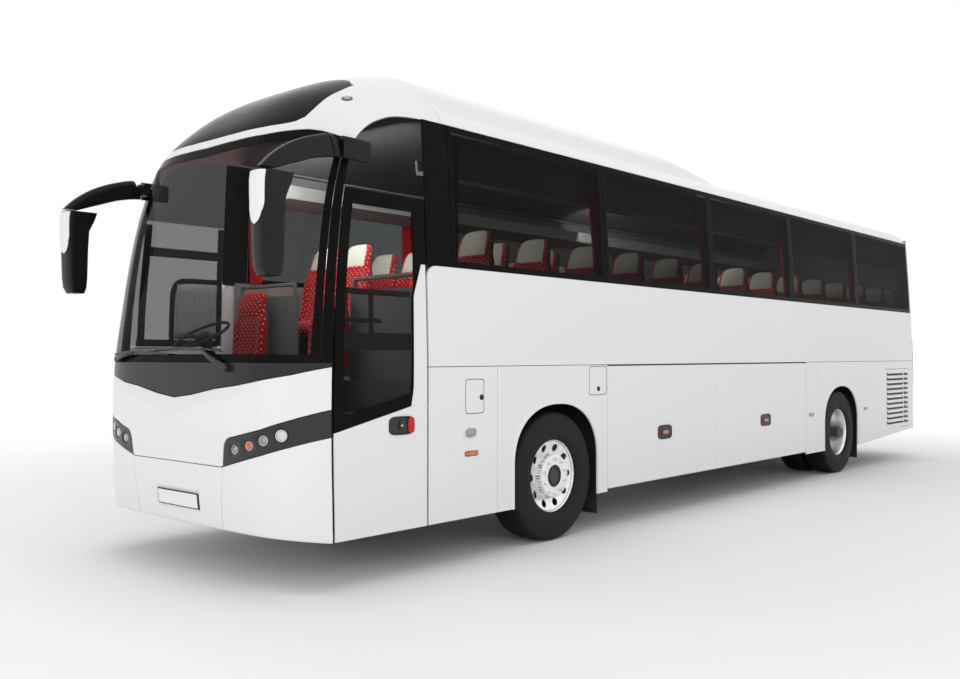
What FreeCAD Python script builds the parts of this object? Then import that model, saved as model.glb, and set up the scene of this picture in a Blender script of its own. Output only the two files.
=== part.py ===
import FreeCAD, Part
import math
import os
from FreeCAD import Vector

# Coach bus, millimetres. The front faces -Y, the passenger door is on the +X side,
# +Z is up, and the origin lies on the ground under the middle of the bus.

# Body envelope
HALF_W = 1275.0
SKIRT_Z = 310.0
BELT_Z = 1410.0
SILL_Z = 2120.0
SILL_X = HALF_W - 21.0
HEAD_Z = 3150.0
HEAD_X = HALF_W - 80.0
ROOF_Z = 3380.0
ROOF_CORNER_Z = 3300.0
ROOF_POWER = 6.5
REAR_SIDE_Y = 5695.0
REAR_Y = 5990.0
CAP_Y = -4300.0
WALL = 40.0
FLAP_T = 25.0
SEAM = 0.6
SEAT_GAP = 0.3
MOVE_GAP = 6.0
REAR_SKIRT_Y = 3600.0
REAR_SKIRT_RISE = 100.0

# Front shell, one row for each level from the bumper's lower edge to the roof joint:
# height and place on the centre line, height and place at the door seam, and the power
# that shapes the level across the width. Each level lies in one plane.
FRONT_LEVELS = [
    (345.0, -5650.0, 311.0, -5346.0, 6.5),
    (560.0, -5678.0, 560.0, -5352.0, 6.5),
    (820.0, -5687.0, 820.0, -5358.0, 6.5),
    (1095.0, -5741.0, 1120.0, -5361.0, 5.5),
    (1207.0, -5700.0, 1290.0, -5360.0, 6.0),
    (1410.0, -5685.0, 1447.0, -5357.0, 6.0),
    (1838.0, -5650.0, 1838.0, -5336.0, 5.0),
    (2442.0, -5575.0, 2442.0, -5262.0, 4.0),
    (2790.0, -5500.0, 2695.0, -5201.0, 3.4),
    (3010.0, -5420.0, 2903.0, -5119.0, 3.0),
    (3190.0, -5265.0, 3050.0, -4945.0, 3.0),
    (3390.0, -4995.0, 3120.0, -4745.0, 3.2),
    (3560.0, -4620.0, 3142.0, -4530.0, 3.4),
    (3640.0, CAP_Y, HEAD_Z, CAP_Y, 3.64),
]
# Rear shell, in the same form
REAR_LEVELS = [
    (405.0, REAR_Y - 30.0, 405.0, REAR_SIDE_Y, 7.0),
    (1000.0, REAR_Y, 1000.0, REAR_SIDE_Y, 7.0),
    (2120.0, REAR_Y - 5.0, 2120.0, REAR_SIDE_Y, 6.5),
    (2700.0, REAR_Y - 25.0, 2700.0, REAR_SIDE_Y, 6.0),
    (3220.0, REAR_Y - 130.0, 3090.0, REAR_SIDE_Y, 4.5),
    (3340.0, REAR_Y - 220.0, 3135.0, REAR_SIDE_Y, 4.5),
    (ROOF_Z, REAR_SIDE_Y, HEAD_Z, REAR_SIDE_Y, 7.0),
]
SHELL_T = 30.0
GLASS_T = 8.0

# Roof fairing
ROOF_TOP_Z = 3640.0
POD_HALF_W = HEAD_X - 192.0
POD_EDGE = 50.0
POD_REAR_Y = 220.0
POD_SLOPE = 760.0
POD_TAIL = 90.0
POD_TAIL_Z = 3510.0

# Windows: seams between panes from the first pillar to the rear corner
DOOR_REAR_Y = -4505.0
FIRST_GLASS_Y = -4249.0
PANE_SEAMS = [-2305.0, -395.0, 1535.0, 3565.0]
LAST_GLASS_Y = 5660.0
PILLAR_W = 90.0
GLASS_LAND = 30.0

# Front: windscreen, lamp bands and bumper, seen from the front
SCREEN_HALF_W = HALF_W - 145.0
SCREEN_BOTTOM_Z = 1410.0
SCREEN_TOP_Z = 3020.0
SCREEN_TOP_SIDE_Z = 2880.0
SCREEN_BOTTOM_SIDE_Z = 1445.0
PLATE_PANEL_HALF_W = 565.0
LAMP_IN_X = PLATE_PANEL_HALF_W + 1.0
LAMP_IN_Z = 766.0
LAMP_OUT_Z = 987.0
LAMP_H = 160.0
LAMP_R = 42.0
LAMP_DEPTH = 20.0
LAMPS = [(693.0, 887.0), (831.0, 918.0), (946.0, 956.0), (1061.0, 987.0)]
PLATE_HALF_W = 262.0
PLATE_LOW_Z = 450.0
PLATE_HIGH_Z = 566.0
PLATE_DEPTH = 8.0
MIRROR_LOW_Z = 1960.0
MIRROR_ARM_SIDE = [(-5030.0, 2888.0), (-5320.0, 2890.0), (-5502.0, 2851.0), (-5665.0, 2786.0),
                   (-5820.0, 2691.0), (-5940.0, 2600.0), (-5930.0, 2560.0), (-5790.0, 2560.0),
                   (-5772.0, 2617.0), (-5644.0, 2652.0), (-5438.0, 2720.0), (-5264.0, 2745.0),
                   (-5030.0, 2745.0)]
MIRROR_ARM_PLAN = [(-10.0, -5030.0), (-10.0, -5250.0), (-2.0, -5500.0), (10.0, -5720.0),
                   (15.0, -5950.0), (-60.0, -5950.0), (-62.0, -5720.0), (-72.0, -5500.0),
                   (-85.0, -5330.0), (-125.0, -5300.0), (-125.0, -5215.0), (-48.0, -5215.0),
                   (-48.0, -5030.0)]
MIRROR_SIDE = [(-5985.0, 2480.0), (-5970.0, 2580.0), (-5900.0, 2600.0), (-5675.0, 2590.0),
               (-5660.0, 2540.0), (-5705.0, 2060.0), (-5760.0, MIRROR_LOW_Z),
               (-5905.0, MIRROR_LOW_Z), (-5945.0, 2020.0)]
MIRROR_PLAN = [(-145.0, -5600.0), (-145.0, -5890.0), (-95.0, -5975.0), (-15.0, -5990.0),
               (30.0, -5880.0), (30.0, -5600.0)]

# Wheels and axles
FRONT_AXLE_Y = -3035.0
REAR_AXLE_Y = 2925.0
AXLE_Z = 518.0
TYRE_R = 518.0
TYRE_W = 295.0
TREAD_W = 250.0
SHOULDER = 26.0
TYRE_SIDES = 20
BEAD_R = 290.0
WHEEL_OUT_X = HALF_W - 25.0
TWIN_PITCH = 335.0
HUB_R = 110.0
HUB_SIDES = 16
RIM_R = BEAD_R - SEAT_GAP
RIM_LIP_R = 302.0
RIM_WALL = 14.0
DISC_T = 16.0
HAND_HOLE_R = 31.0
HAND_HOLES = 10
SPINDLE_R = 60.0
KINGPIN_X = WHEEL_OUT_X - 250.0
KINGPIN_R = 22.0
EYE_R = 40.0
EYE_HALF_H = 64.0
FORK_HALF_H = 130.0
ARCH_HALF = 550.0
ARCH_TOP_Z = 1100.0
ARCH_CORNER_R = 330.0
ARCH_STEPS = 6
STEER_SWEEP_R = 615.0
RUN_GAP = 0.05
BRAKE_R = 150.0
BRAKE_T = 32.0
DIFF_R = 190.0
DIFF_HALF_W = 110.0

# Floors and luggage bay
DECK_Z = 1300.0
DECK_T = 45.0
CAB_Z = 850.0
CAB_REAR_Y = -4450.0
CAB_FLOOR_FRONT_Y = -5480.0
BAY_FRONT_Y = -2325.0
BAY_SPLIT_Y = -395.0
BAY_REAR_Y = 1840.0
BAY_FLOOR_Z = 420.0
FLAP_BOTTOM_Z = 345.0
FLAP_TOP_Z = 1398.0
LAND = 25.0
RAIL_X = 430.0
RAIL_W = 70.0
RAIL_LOW_Z = 640.0
RAIL_HIGH_Z = 800.0
LONGERON_H = 85.0
FRAME_FRONT_Y = -5560.0
FRAME_REAR_Y = 5640.0
FRONT_CROSS_HALF = HALF_W - 345.0
JACK_FRONT_Y = -4700.0
JACK_REAR_Y = 3950.0
JACK_HALF = 60.0
JACK_T = 20.0
MUDFLAP_T = 10.0
MUDFLAP_LOW_Z = 140.0
MUDFLAP_HIGH_Z = 780.0
REAR_HOUSING_HALF = 650.0

# Passenger door and its swinging arms
DOOR_GAP = 7.0
DOOR_LOW_Z = 318.0
DOOR_HIGH_Z = 2572.0
DOOR_GLASS_LOW_Z = 1190.0
DOOR_FRAME = 90.0
POST_X = HALF_W - 80.0
POST_Y = -5295.0
POST_R = 18.0
JOURNAL_STEP = 2.0
PIN_SIDES = 12
LEAF_PIN_X = POST_X - 10.0
LEAF_PIN_Y = -4895.0
PIN_R = 10.0
ARM_LOW_Z = 520.0
ARM_HIGH_Z = 1720.0
ARM_H = 30.0
ARM_W = 34.0
ARM_KNEE_X = POST_X - 96.0
ARM_KNEE_Y = -5245.0
BEARING_T = 20.0
JAMB_FRONT_Y = -5358.0
JAMB_REAR_Y = -5336.0
STEP_Z = 400.0
SECOND_STEP_Z = 625.0
STEP_T = 40.0
STEP_IN_X = HALF_W - 675.0
STEP_EDGE_X = HALF_W - 275.0
RISER_T = 20.0
TREAD_D = 250.0

# Rear: window, engine door and side service doors
ENGINE_DOOR_T = 20.0
TAIL_LAMP_IN_X = HALF_W - 145.0
TAIL_LAMP_LOW_Z = 1060.0
TAIL_LAMP_HIGH_Z = 1700.0
ENGINE_DOOR_HALF_W = 850.0
ENGINE_DOOR_LOW_Z = 620.0
ENGINE_DOOR_HIGH_Z = 1500.0
REAR_WINDOW_HALF_W = 900.0
REAR_WINDOW_LOW_Z = 2050.0
REAR_WINDOW_HIGH_Z = 2850.0
SERVICE_FRONT_Y = 4540.0
SERVICE_REAR_Y = 5510.0
SERVICE_LOW_Z = 460.0
SERVICE_HIGH_Z = 1296.0
SLOT_COUNT = 11

# Seats
ROW_FIRST_Y = -3815.0
ROW_PITCH = 722.0
ROW_COUNT = 13
SEAT_W = 900.0
SEAT_X = HALF_W - 125.0 - SEAT_W / 2
SEAT_D = 440.0
CUSHION_LOW_Z = 1640.0
CUSHION_T = 140.0
BACK_TOP_Z = 2470.0
BACK_T = 110.0
BACK_LEAN = 170.0
CREW_SEAT_Y = -4760.0
CREW_SEAT_W = 480.0
CREW_SEAT_H = 380.0
CREW_CUSHION_T = 130.0
CREW_BACK_H = 800.0
DRIVER_X = HALF_W - 515.0
GUIDE_X = 250.0
DASH_FRONT_Y = -5600.0
DASH_REAR_Y = -5180.0
DASH_H = 550.0
DASH_KNEE_H = 300.0
DASH_OUT_X = HALF_W - 215.0
WHEEL_RIM_Y = -5010.0
WHEEL_RIM_H = 800.0
RACK_FRONT_Y = -4150.0
RACK_REAR_Y = 5500.0
RACK_TOP_Z = 3100.0
RACK_H = 300.0
RACK_W = 300.0
RACK_T = 30.0
RACK_SET = 105.0
DRIVER_PANE_LOW_Z = 1530.0
PARTITION_SET = 45.0
PARTITION_T = 22.0
PARTITION_IN_X = 330.0
PARTITION_OUT_X = HALF_W - 125.0
PARTITION_TOP_Z = 1980.0
RAIL_R = 16.0

S_GRID = [0.0, 0.35, 0.56, 0.72, 0.84, 0.93, 0.98, 1.0]
REAR_GRID = [0.0, 0.66, 0.86, 0.95, 1.0]


def box(x0, x1, y0, y1, z0, z1):
    """Box between two opposite corners."""
    low = Vector(min(x0, x1), min(y0, y1), min(z0, z1))
    return Part.makeBox(abs(x1 - x0), abs(y1 - y0), abs(z1 - z0), low)


def mirrored(shape):
    """The same shape on the other side of the bus."""
    return shape.mirror(Vector(0, 0, 0), Vector(1, 0, 0))


def both(shape):
    """A shape and its mirror image as two solids."""
    return Part.makeCompound([shape, mirrored(shape)])


def cylinder(radius, length, centre, axis):
    """Cylinder that starts at centre and runs along axis."""
    return Part.makeCylinder(radius, length, Vector(*centre), Vector(*axis))


def fuse(shapes):
    """One clean solid from shapes that touch or overlap."""
    return shapes[0].fuse(shapes[1:]).removeSplitter()


def prism_x(points, x0, x1):
    """Side view outline, given as Y and Z, drawn out across the bus."""
    wire = Part.makePolygon([Vector(x0, y, z) for y, z in points + points[:1]])
    return Part.Face(wire).extrude(Vector(x1 - x0, 0, 0))


def prism_y(points, y0, y1):
    """Front view outline, given as X and Z, drawn out along the bus."""
    wire = Part.makePolygon([Vector(x, y0, z) for x, z in points + points[:1]])
    return Part.Face(wire).extrude(Vector(0, y1 - y0, 0))


def prism_z(points, z0, z1):
    """Plan outline, given as X and Y, drawn upwards."""
    wire = Part.makePolygon([Vector(x, y, z0) for x, y in points + points[:1]])
    return Part.Face(wire).extrude(Vector(0, 0, z1 - z0))


def ngon(radius, sides):
    """Corners of a regular outline round the origin."""
    turns = [2 * math.pi * index / sides for index in range(sides)]
    return [(radius * math.cos(turn), radius * math.sin(turn)) for turn in turns]


def disc_x(radius, x0, x1, sides=20):
    """Many sided disc round the X axis."""
    return prism_x(ngon(radius, sides), x0, x1)


def disc_z(radius, centre, z0, z1, sides=12):
    """Many sided upright disc round a point given as X and Y."""
    return prism_z([(centre[0] + x, centre[1] + y) for x, y in ngon(radius, sides)], z0, z1)


def bore_size(pin_radius, sides):
    """Corner radius of a many sided bore whose flats clear a round pin by the running gap."""
    return (pin_radius + RUN_GAP) / math.cos(math.pi / sides)


def tube(points, radius):
    """Bar of six sides along straight runs, each run drawn out a little into the next."""
    runs = []
    for start, end in zip(points, points[1:]):
        run = end.sub(start)
        grow = Vector(run).normalize().multiply(radius / 2)
        loop = ngon(radius, 6)
        bar = Part.Face(Part.makePolygon([Vector(x, y, 0) for x, y in loop + loop[:1]]))
        bar = bar.extrude(Vector(0, 0, run.Length + radius))
        turn = FreeCAD.Rotation(Vector(0, 0, 1), run)
        bar.Placement = FreeCAD.Placement(start.sub(grow), turn)
        runs.append(bar)
    return fuse(runs)


def save(name, shape):
    shape.exportStep("parts/" + name + ".step")


def side_drop(z):
    """Tumblehome of the side: a curve of second order through belt, sill and header."""
    near = SILL_Z - BELT_Z
    far = HEAD_Z - BELT_Z
    bend = ((HALF_W - HEAD_X) / far - (HALF_W - SILL_X) / near) / (far - near)
    slope = (HALF_W - SILL_X) / near - bend * near
    return slope * (z - BELT_Z) + bend * (z - BELT_Z) ** 2


def side_folds():
    """Heights at which the flat strips of the side meet."""
    return [BELT_Z, SILL_Z, HEAD_Z]


def side_x(z):
    """Half width of the outer skin at height z, straight between the folds."""
    if z <= BELT_Z:
        return HALF_W
    folds = side_folds()
    index = min(sum(z > fold for fold in folds), len(folds) - 1)
    low, high = folds[index - 1], folds[index]
    share = (z - low) / (high - low)
    return HALF_W - side_drop(low) * (1 - share) - side_drop(high) * share


def side_slab(y0, y1, z0, z1, outer=0.0, inner=WALL):
    """Piece of the left wall between two depths below the outer skin."""
    heights = [z0] + [z for z in side_folds() if z0 < z < z1] + [z1]
    skin = [(side_x(z) - outer, z) for z in heights]
    back = [(side_x(z) - inner, z) for z in reversed(heights)]
    return prism_y(skin + back, y0, y1)


def level_points(level, depth, grid=S_GRID):
    """One level of a shell: from its middle to its side as a power of s, moved in by depth."""
    z_mid, y_mid, z_side, y_side, power = level
    middle = Vector(0, y_mid, z_mid)
    inwards = Vector(0, y_side, z_side).sub(middle)
    half = side_x(z_side) - depth
    start = middle.add(inwards.normalize().multiply(depth))
    reach = Vector(0, y_side, z_side).sub(start)
    points = []
    for s in [-s for s in reversed(grid[1:])] + grid:
        rise = Vector(reach).multiply(abs(s) ** power)
        points.append(start.add(rise).add(Vector(half * s, 0, 0)))
    return points


def flat_face(points):
    return Part.Face(Part.makePolygon(points + points[:1]))


def strip_faces(near, far):
    """Flat triangles between two rows of points, the diagonals mirrored about the middle."""
    faces = []
    for a, b, c, d in zip(near, near[1:], far[1:], far):
        if a.x + b.x > 0:
            faces += [flat_face([a, b, c]), flat_face([a, c, d])]
        else:
            faces += [flat_face([a, b, d]), flat_face([b, c, d])]
    return faces


def end_shell(levels, thickness, grid=S_GRID):
    """Front, rear or roof skin, straight between its levels and thickened inwards."""
    outer = [level_points(level, 0.0, grid) for level in levels]
    inner = [level_points(level, thickness, grid) for level in levels]
    faces = []
    for grid in (outer, inner):
        for near, far in zip(grid, grid[1:]):
            faces += strip_faces(near, far)
    for row in (0, -1):
        for a, b, c, d in zip(outer[row], outer[row][1:], inner[row][1:], inner[row]):
            faces.append(flat_face([a, b, c, d]))
    for end in (0, -1):
        for near in range(len(levels) - 1):
            far = near + 1
            faces.append(flat_face([outer[near][end], outer[far][end], inner[far][end],
                                    inner[near][end]]))
    return solid_of(faces)


def solid_of(faces):
    """Solid inside a closed set of faces, turned the right way out."""
    solid = Part.Solid(Part.Shell(faces))
    if solid.Volume < 0:
        solid.reverse()
    return solid


def seam_region(shift):
    """Everything in front of the door seam and the roof joint, the seam moved back by shift."""
    seam = [(level[3] + shift, level[2]) for level in FRONT_LEVELS]
    low_y, low_z = seam[0]
    high_y = seam[-1][0]
    return prism_x([(-7000, low_z - 60), (low_y, low_z - 60)] + seam
                   + [(high_y, 4200), (-7000, 4200)], -2000, 2000)


def screen_outline(grow):
    """Windscreen opening in front view with bowed edges, made larger by grow."""
    half = SCREEN_HALF_W + grow
    steps = [-1.0, -0.8, -0.5, 0.0, 0.5, 0.8, 1.0]
    low_rise = SCREEN_BOTTOM_SIDE_Z - SCREEN_BOTTOM_Z
    high_drop = SCREEN_TOP_Z - SCREEN_TOP_SIDE_Z
    low = [(half * t, SCREEN_BOTTOM_Z - grow + low_rise * t * t) for t in steps]
    high = [(half * t, SCREEN_TOP_Z + grow - high_drop * t * t) for t in reversed(steps)]
    return prism_y(low + high, -7000, CAP_Y - 100)


def lamp_outline(grow):
    """Black lamp band beside the plate panel in front view, made larger by grow."""
    slope = (LAMP_OUT_Z - LAMP_IN_Z) / (HALF_W - LAMP_IN_X)
    in_x = LAMP_IN_X - grow
    in_z = LAMP_IN_Z - grow - slope * grow
    out_z = LAMP_OUT_Z - grow + slope * 100
    out_x = HALF_W + 100
    rise = LAMP_H + 2 * grow
    points = [(in_x, in_z), (out_x, out_z), (out_x, out_z + rise), (in_x, in_z + rise)]
    return prism_y(points, -7000, -4400)


def windscreen():
    """Curved windscreen, set in the front cap's opening."""
    pane = end_shell(FRONT_LEVELS, GLASS_T)
    return pane.common(screen_outline(0.0))


def front_cap():
    """Roof dome, windscreen surround and corner pillars in one moulding."""
    above = box(-2000, 2000, -7000, CAP_Y - SEAM, SCREEN_BOTTOM_Z + SEAM, 4200)
    return end_shell(FRONT_LEVELS, SHELL_T).common(above).cut(screen_outline(SEAM))


def front_panel():
    """Nose panel between the windscreen and the lamp bands."""
    below = box(-2000, 2000, -7000, CAP_Y, LAMP_IN_Z, SCREEN_BOTTOM_Z)
    panel = end_shell(FRONT_LEVELS, SHELL_T).common(below)
    slope = (LAMP_OUT_Z - LAMP_IN_Z) / (HALF_W - LAMP_IN_X)
    out_z = LAMP_OUT_Z + slope * 100
    under = [(PLATE_PANEL_HALF_W, 0), (HALF_W + 100, 0), (HALF_W + 100, out_z),
             (PLATE_PANEL_HALF_W, LAMP_IN_Z)]
    cutter = prism_y(under, -7000, -4400)
    panel = panel.cut(both(cutter)).cut(both(lamp_outline(SEAM)))
    return panel.cut(screen_outline(SEAM))


def headlamps():
    """Left and right lamp bands, each with four round lamps sunk into it."""
    band = end_shell(FRONT_LEVELS, SHELL_T).common(lamp_outline(0.0))
    band = band.common(box(0, 2000, -7000, 0, 0, 2000))
    floor = end_shell(FRONT_LEVELS, LAMP_DEPTH)
    for x, z in LAMPS:
        well = Part.Face(Part.makePolygon([Vector(x + a, -7000, z + b) for a, b in ngon(LAMP_R, 8)]
                                          + [Vector(x + LAMP_R, -7000, z)]))
        band = band.cut(well.extrude(Vector(0, 2500, 0)).common(floor))
    return both(band)


def front_bumper():
    """Plate panel in the middle and a corner piece on each side."""
    skin = end_shell(FRONT_LEVELS, SHELL_T)
    middle = skin.common(box(-PLATE_PANEL_HALF_W, PLATE_PANEL_HALF_W, -7000, 0, 0,
                             LAMP_IN_Z - SEAM))
    slope = (LAMP_OUT_Z - LAMP_IN_Z) / (HALF_W - LAMP_IN_X)
    in_x = PLATE_PANEL_HALF_W + SEAM
    in_z = LAMP_IN_Z - SEAM - slope * (LAMP_IN_X - in_x)
    out_x = HALF_W + 100
    out_z = in_z + slope * (out_x - in_x)
    corner = skin.common(prism_y([(in_x, 0), (out_x, 0), (out_x, out_z), (in_x, in_z)],
                                 -7000, -4400))
    pocket = end_shell(FRONT_LEVELS, PLATE_DEPTH)
    pocket = pocket.common(box(-PLATE_HALF_W, PLATE_HALF_W, -7000, 0, PLATE_LOW_Z, PLATE_HIGH_Z))
    return Part.makeCompound([middle.cut(pocket), corner, mirrored(corner)])


def rear_window_box(grow):
    return box(-REAR_WINDOW_HALF_W - grow, REAR_WINDOW_HALF_W + grow, REAR_SIDE_Y, 7000,
               REAR_WINDOW_LOW_Z - grow, REAR_WINDOW_HIGH_Z + grow)


def engine_door_box(grow):
    return box(-ENGINE_DOOR_HALF_W - grow, ENGINE_DOOR_HALF_W + grow, REAR_SIDE_Y, 7000,
               ENGINE_DOOR_LOW_Z - grow, ENGINE_DOOR_HIGH_Z + grow)


def tail_lamp_box(grow):
    return box(TAIL_LAMP_IN_X - grow, 2000, REAR_SIDE_Y, 7000, TAIL_LAMP_LOW_Z - grow,
               TAIL_LAMP_HIGH_Z + grow)


def bumper_line(z_shift):
    """Space above the top edge of the rear bumper."""
    return box(-2000, 2000, REAR_SIDE_Y, 7000, ENGINE_DOOR_LOW_Z - MOVE_GAP - LAND + z_shift, 4200)


def rear_wall():
    """Rear moulding with its window, engine and lamp openings."""
    wall = end_shell(REAR_LEVELS, SHELL_T, REAR_GRID).common(bumper_line(0.0))
    wall = wall.cut(rear_window_box(SEAM))
    rebate = end_shell(REAR_LEVELS, ENGINE_DOOR_T + SEAT_GAP, REAR_GRID).common(engine_door_box(MOVE_GAP))
    wall = wall.cut(rebate).cut(engine_door_box(MOVE_GAP - LAND))
    return wall.cut(both(tail_lamp_box(SEAM)))


def rear_bumper():
    return end_shell(REAR_LEVELS, SHELL_T, REAR_GRID).cut(bumper_line(-SEAM))


def rear_window():
    pane = end_shell(REAR_LEVELS, GLASS_T, REAR_GRID)
    return pane.common(rear_window_box(0.0))


def tail_lamps():
    return both(end_shell(REAR_LEVELS, SHELL_T, REAR_GRID).common(tail_lamp_box(0.0)))


def engine_door():
    """Engine door cut from the rear skin."""
    return end_shell(REAR_LEVELS, ENGINE_DOOR_T, REAR_GRID).common(engine_door_box(0.0))


def arch_cut(axle_y, grow):
    """Wheel arch in side view: a flat topped opening with round shoulders."""
    half = ARCH_HALF + grow
    corner = ARCH_CORNER_R + grow
    outline = [(axle_y - half, -10)]
    for side in (-1, 1):
        turns = [math.pi / 2 * step / ARCH_STEPS for step in range(ARCH_STEPS + 1)]
        if side > 0:
            turns.reverse()
        for turn in turns:
            y = side * (half - corner + corner * math.cos(turn))
            outline.append((axle_y + y, ARCH_TOP_Z + grow - corner + corner * math.sin(turn)))
    outline.append((axle_y + half, -10))
    return prism_x(outline, 0, 2000)


def rear_rise():
    """Wedge under the rear overhang where the skirt climbs."""
    return prism_x([(REAR_SKIRT_Y, SKIRT_Z - 20), (REAR_SKIRT_Y, SKIRT_Z),
                    (REAR_SIDE_Y + 10, SKIRT_Z + REAR_SKIRT_RISE),
                    (REAR_SIDE_Y + 10, SKIRT_Z - 20)], -2000, 2000)


def pane_spans():
    """Front and rear edge of each side pane behind the first pillar."""
    edges = [FIRST_GLASS_Y] + PANE_SEAMS + [LAST_GLASS_Y]
    return list(zip(edges, edges[1:]))


def side_wall(with_door):
    """One side wall with its windows, arches, flap and service openings."""
    wall = side_slab(CAP_Y - 1200, REAR_SIDE_Y - SEAM, SKIRT_Z, HEAD_Z)
    wall = wall.cut(rear_rise())
    wall = wall.cut(seam_region(SEAM))
    land = side_slab(CAP_Y - 1200, REAR_SIDE_Y, SILL_Z - GLASS_LAND, HEAD_Z - 20,
                     -5.0, GLASS_T + SEAT_GAP)
    first = DOOR_REAR_Y if with_door else CAP_Y - 1200
    wall = wall.cut(land.common(box(0, 2000, first, LAST_GLASS_Y + 20, 0, 4000)))
    for y0, y1 in pane_spans():
        wall = wall.cut(box(0, 2000, y0 + PILLAR_W / 2, y1 - PILLAR_W / 2,
                            SILL_Z + GLASS_LAND, HEAD_Z - 20 - GLASS_LAND))
    for axle_y in (FRONT_AXLE_Y, REAR_AXLE_Y):
        wall = wall.cut(arch_cut(axle_y, 0.0))
    for y0, y1, z0, z1 in lid_openings():
        wall = wall.cut(box(HALF_W - FLAP_T - SEAT_GAP, 2000, y0, y1, z0, z1))
        wall = wall.cut(box(0, 2000, y0 + LAND, y1 - LAND, z0 + LAND, z1 - LAND))
    return wall


def flap_spans():
    """Front and rear edge of each luggage flap."""
    return [(BAY_FRONT_Y + MOVE_GAP, BAY_SPLIT_Y - MOVE_GAP / 2),
            (BAY_SPLIT_Y + MOVE_GAP / 2, BAY_REAR_Y - MOVE_GAP)]


def lid_openings():
    """Y and Z limits of the luggage and service openings in a side wall."""
    return [(BAY_FRONT_Y, BAY_REAR_Y, SKIRT_Z - 60, FLAP_TOP_Z + MOVE_GAP),
            (SERVICE_FRONT_Y - MOVE_GAP, SERVICE_REAR_Y + MOVE_GAP, SERVICE_LOW_Z - MOVE_GAP,
             SERVICE_HIGH_Z + MOVE_GAP)]


def luggage_flap(index):
    y0, y1 = flap_spans()[index]
    return side_slab(y0, y1, FLAP_BOTTOM_Z, FLAP_TOP_Z, 0.0, FLAP_T)


def doorway(grow):
    """Passenger door opening in side view, its front edge on the door seam."""
    region = box(0, 2000, CAP_Y - 1300, DOOR_REAR_Y + grow, DOOR_LOW_Z - 60, DOOR_HIGH_Z + grow)
    return region.cut(seam_region(-grow))


def side_left():
    """Left wall with the passenger doorway and its landing frame."""
    wall = side_wall(True).cut(doorway(0.0))
    quarter = box(0, 2000, CAP_Y - 1300, DOOR_REAR_Y - 40, DOOR_HIGH_Z + 60, HEAD_Z - 60)
    quarter = quarter.cut(seam_region(60))
    return wall.cut(quarter)


def side_right():
    """Right wall, where the driver's window takes the place of the door."""
    wall = side_wall(False)
    window = box(0, 2000, CAP_Y - 1300, FIRST_GLASS_Y - PILLAR_W / 2,
                 DRIVER_PANE_LOW_Z + GLASS_LAND, HEAD_Z - 60)
    wall = wall.cut(window.cut(seam_region(70)))
    return mirrored(wall)


def side_panes():
    """Side window panes on the left side behind the door."""
    panes = []
    for y0, y1 in pane_spans():
        panes.append(side_slab(y0 + 4, y1 - 4, SILL_Z - GLASS_LAND + 4, HEAD_Z - 24,
                               0.0, GLASS_T))
    return panes


def side_glass():
    """All side panes, with the quarter pane over the door and the driver's pane."""
    panes = side_panes()
    quarter = side_slab(CAP_Y - 1200, DOOR_REAR_Y - 4, DOOR_HIGH_Z + 30, HEAD_Z - 24,
                        WALL + SEAT_GAP, WALL + SEAT_GAP + GLASS_T)
    quarter = quarter.cut(seam_region(20))
    driver = side_slab(CAP_Y - 1200, FIRST_GLASS_Y - 4, DRIVER_PANE_LOW_Z, HEAD_Z - 24,
                       WALL + SEAT_GAP, WALL + SEAT_GAP + GLASS_T)
    driver = driver.cut(seam_region(20))
    return Part.makeCompound(panes + [mirrored(p) for p in panes] + [quarter, mirrored(driver)])


def roof_level(y, side_z=HEAD_Z):
    """Cross section of the roof at y, in the same form as the end shells' levels."""
    return (ROOF_Z, y, side_z, y, ROOF_POWER)


def roof_panel():
    """Roof skin between the front cap and the rear shell."""
    ends = [roof_level(CAP_Y + SEAM, HEAD_Z + SEAM), roof_level(REAR_SIDE_Y - SEAM, HEAD_Z + SEAM)]
    return end_shell(ends, WALL)


def under_roof():
    """Everything below the roof's outer skin."""
    crown = [(p.x, p.z + SEAT_GAP + SEAM) for p in level_points(roof_level(CAP_Y), 0.0)]
    return prism_y(crown + [(HEAD_X, DECK_Z), (-HEAD_X, DECK_Z)], CAP_Y - 100, REAR_Y)


def roof_pod():
    """Long fairing on the roof that carries the dome's section back and falls at its rear."""
    dome = level_points(FRONT_LEVELS[-1], 0.0)
    crown = [(p.x, p.z) for p in dome if abs(p.x) < POD_HALF_W - POD_EDGE]
    foot = [(POD_HALF_W, ROOF_CORNER_Z - POD_EDGE), (-POD_HALF_W, ROOF_CORNER_Z - POD_EDGE)]
    pod = prism_y(crown + foot, CAP_Y + SEAM, POD_REAR_Y)
    slope = prism_x([(POD_REAR_Y - POD_SLOPE, ROOF_TOP_Z + 1), (POD_REAR_Y - POD_TAIL, POD_TAIL_Z),
                     (POD_REAR_Y, ROOF_Z), (POD_REAR_Y + 10, ROOF_Z), (POD_REAR_Y + 10, 4000),
                     (POD_REAR_Y - POD_SLOPE, 4000)], -2000, 2000)
    return pod.cut(slope).cut(under_roof())


def door_region(grow):
    """Outline of the door leaf in side view, smaller than the doorway by grow."""
    region = box(0, 2000, CAP_Y - 1300, DOOR_REAR_Y - grow, DOOR_LOW_Z, DOOR_HIGH_Z - grow)
    return region.cut(seam_region(grow))


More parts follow.
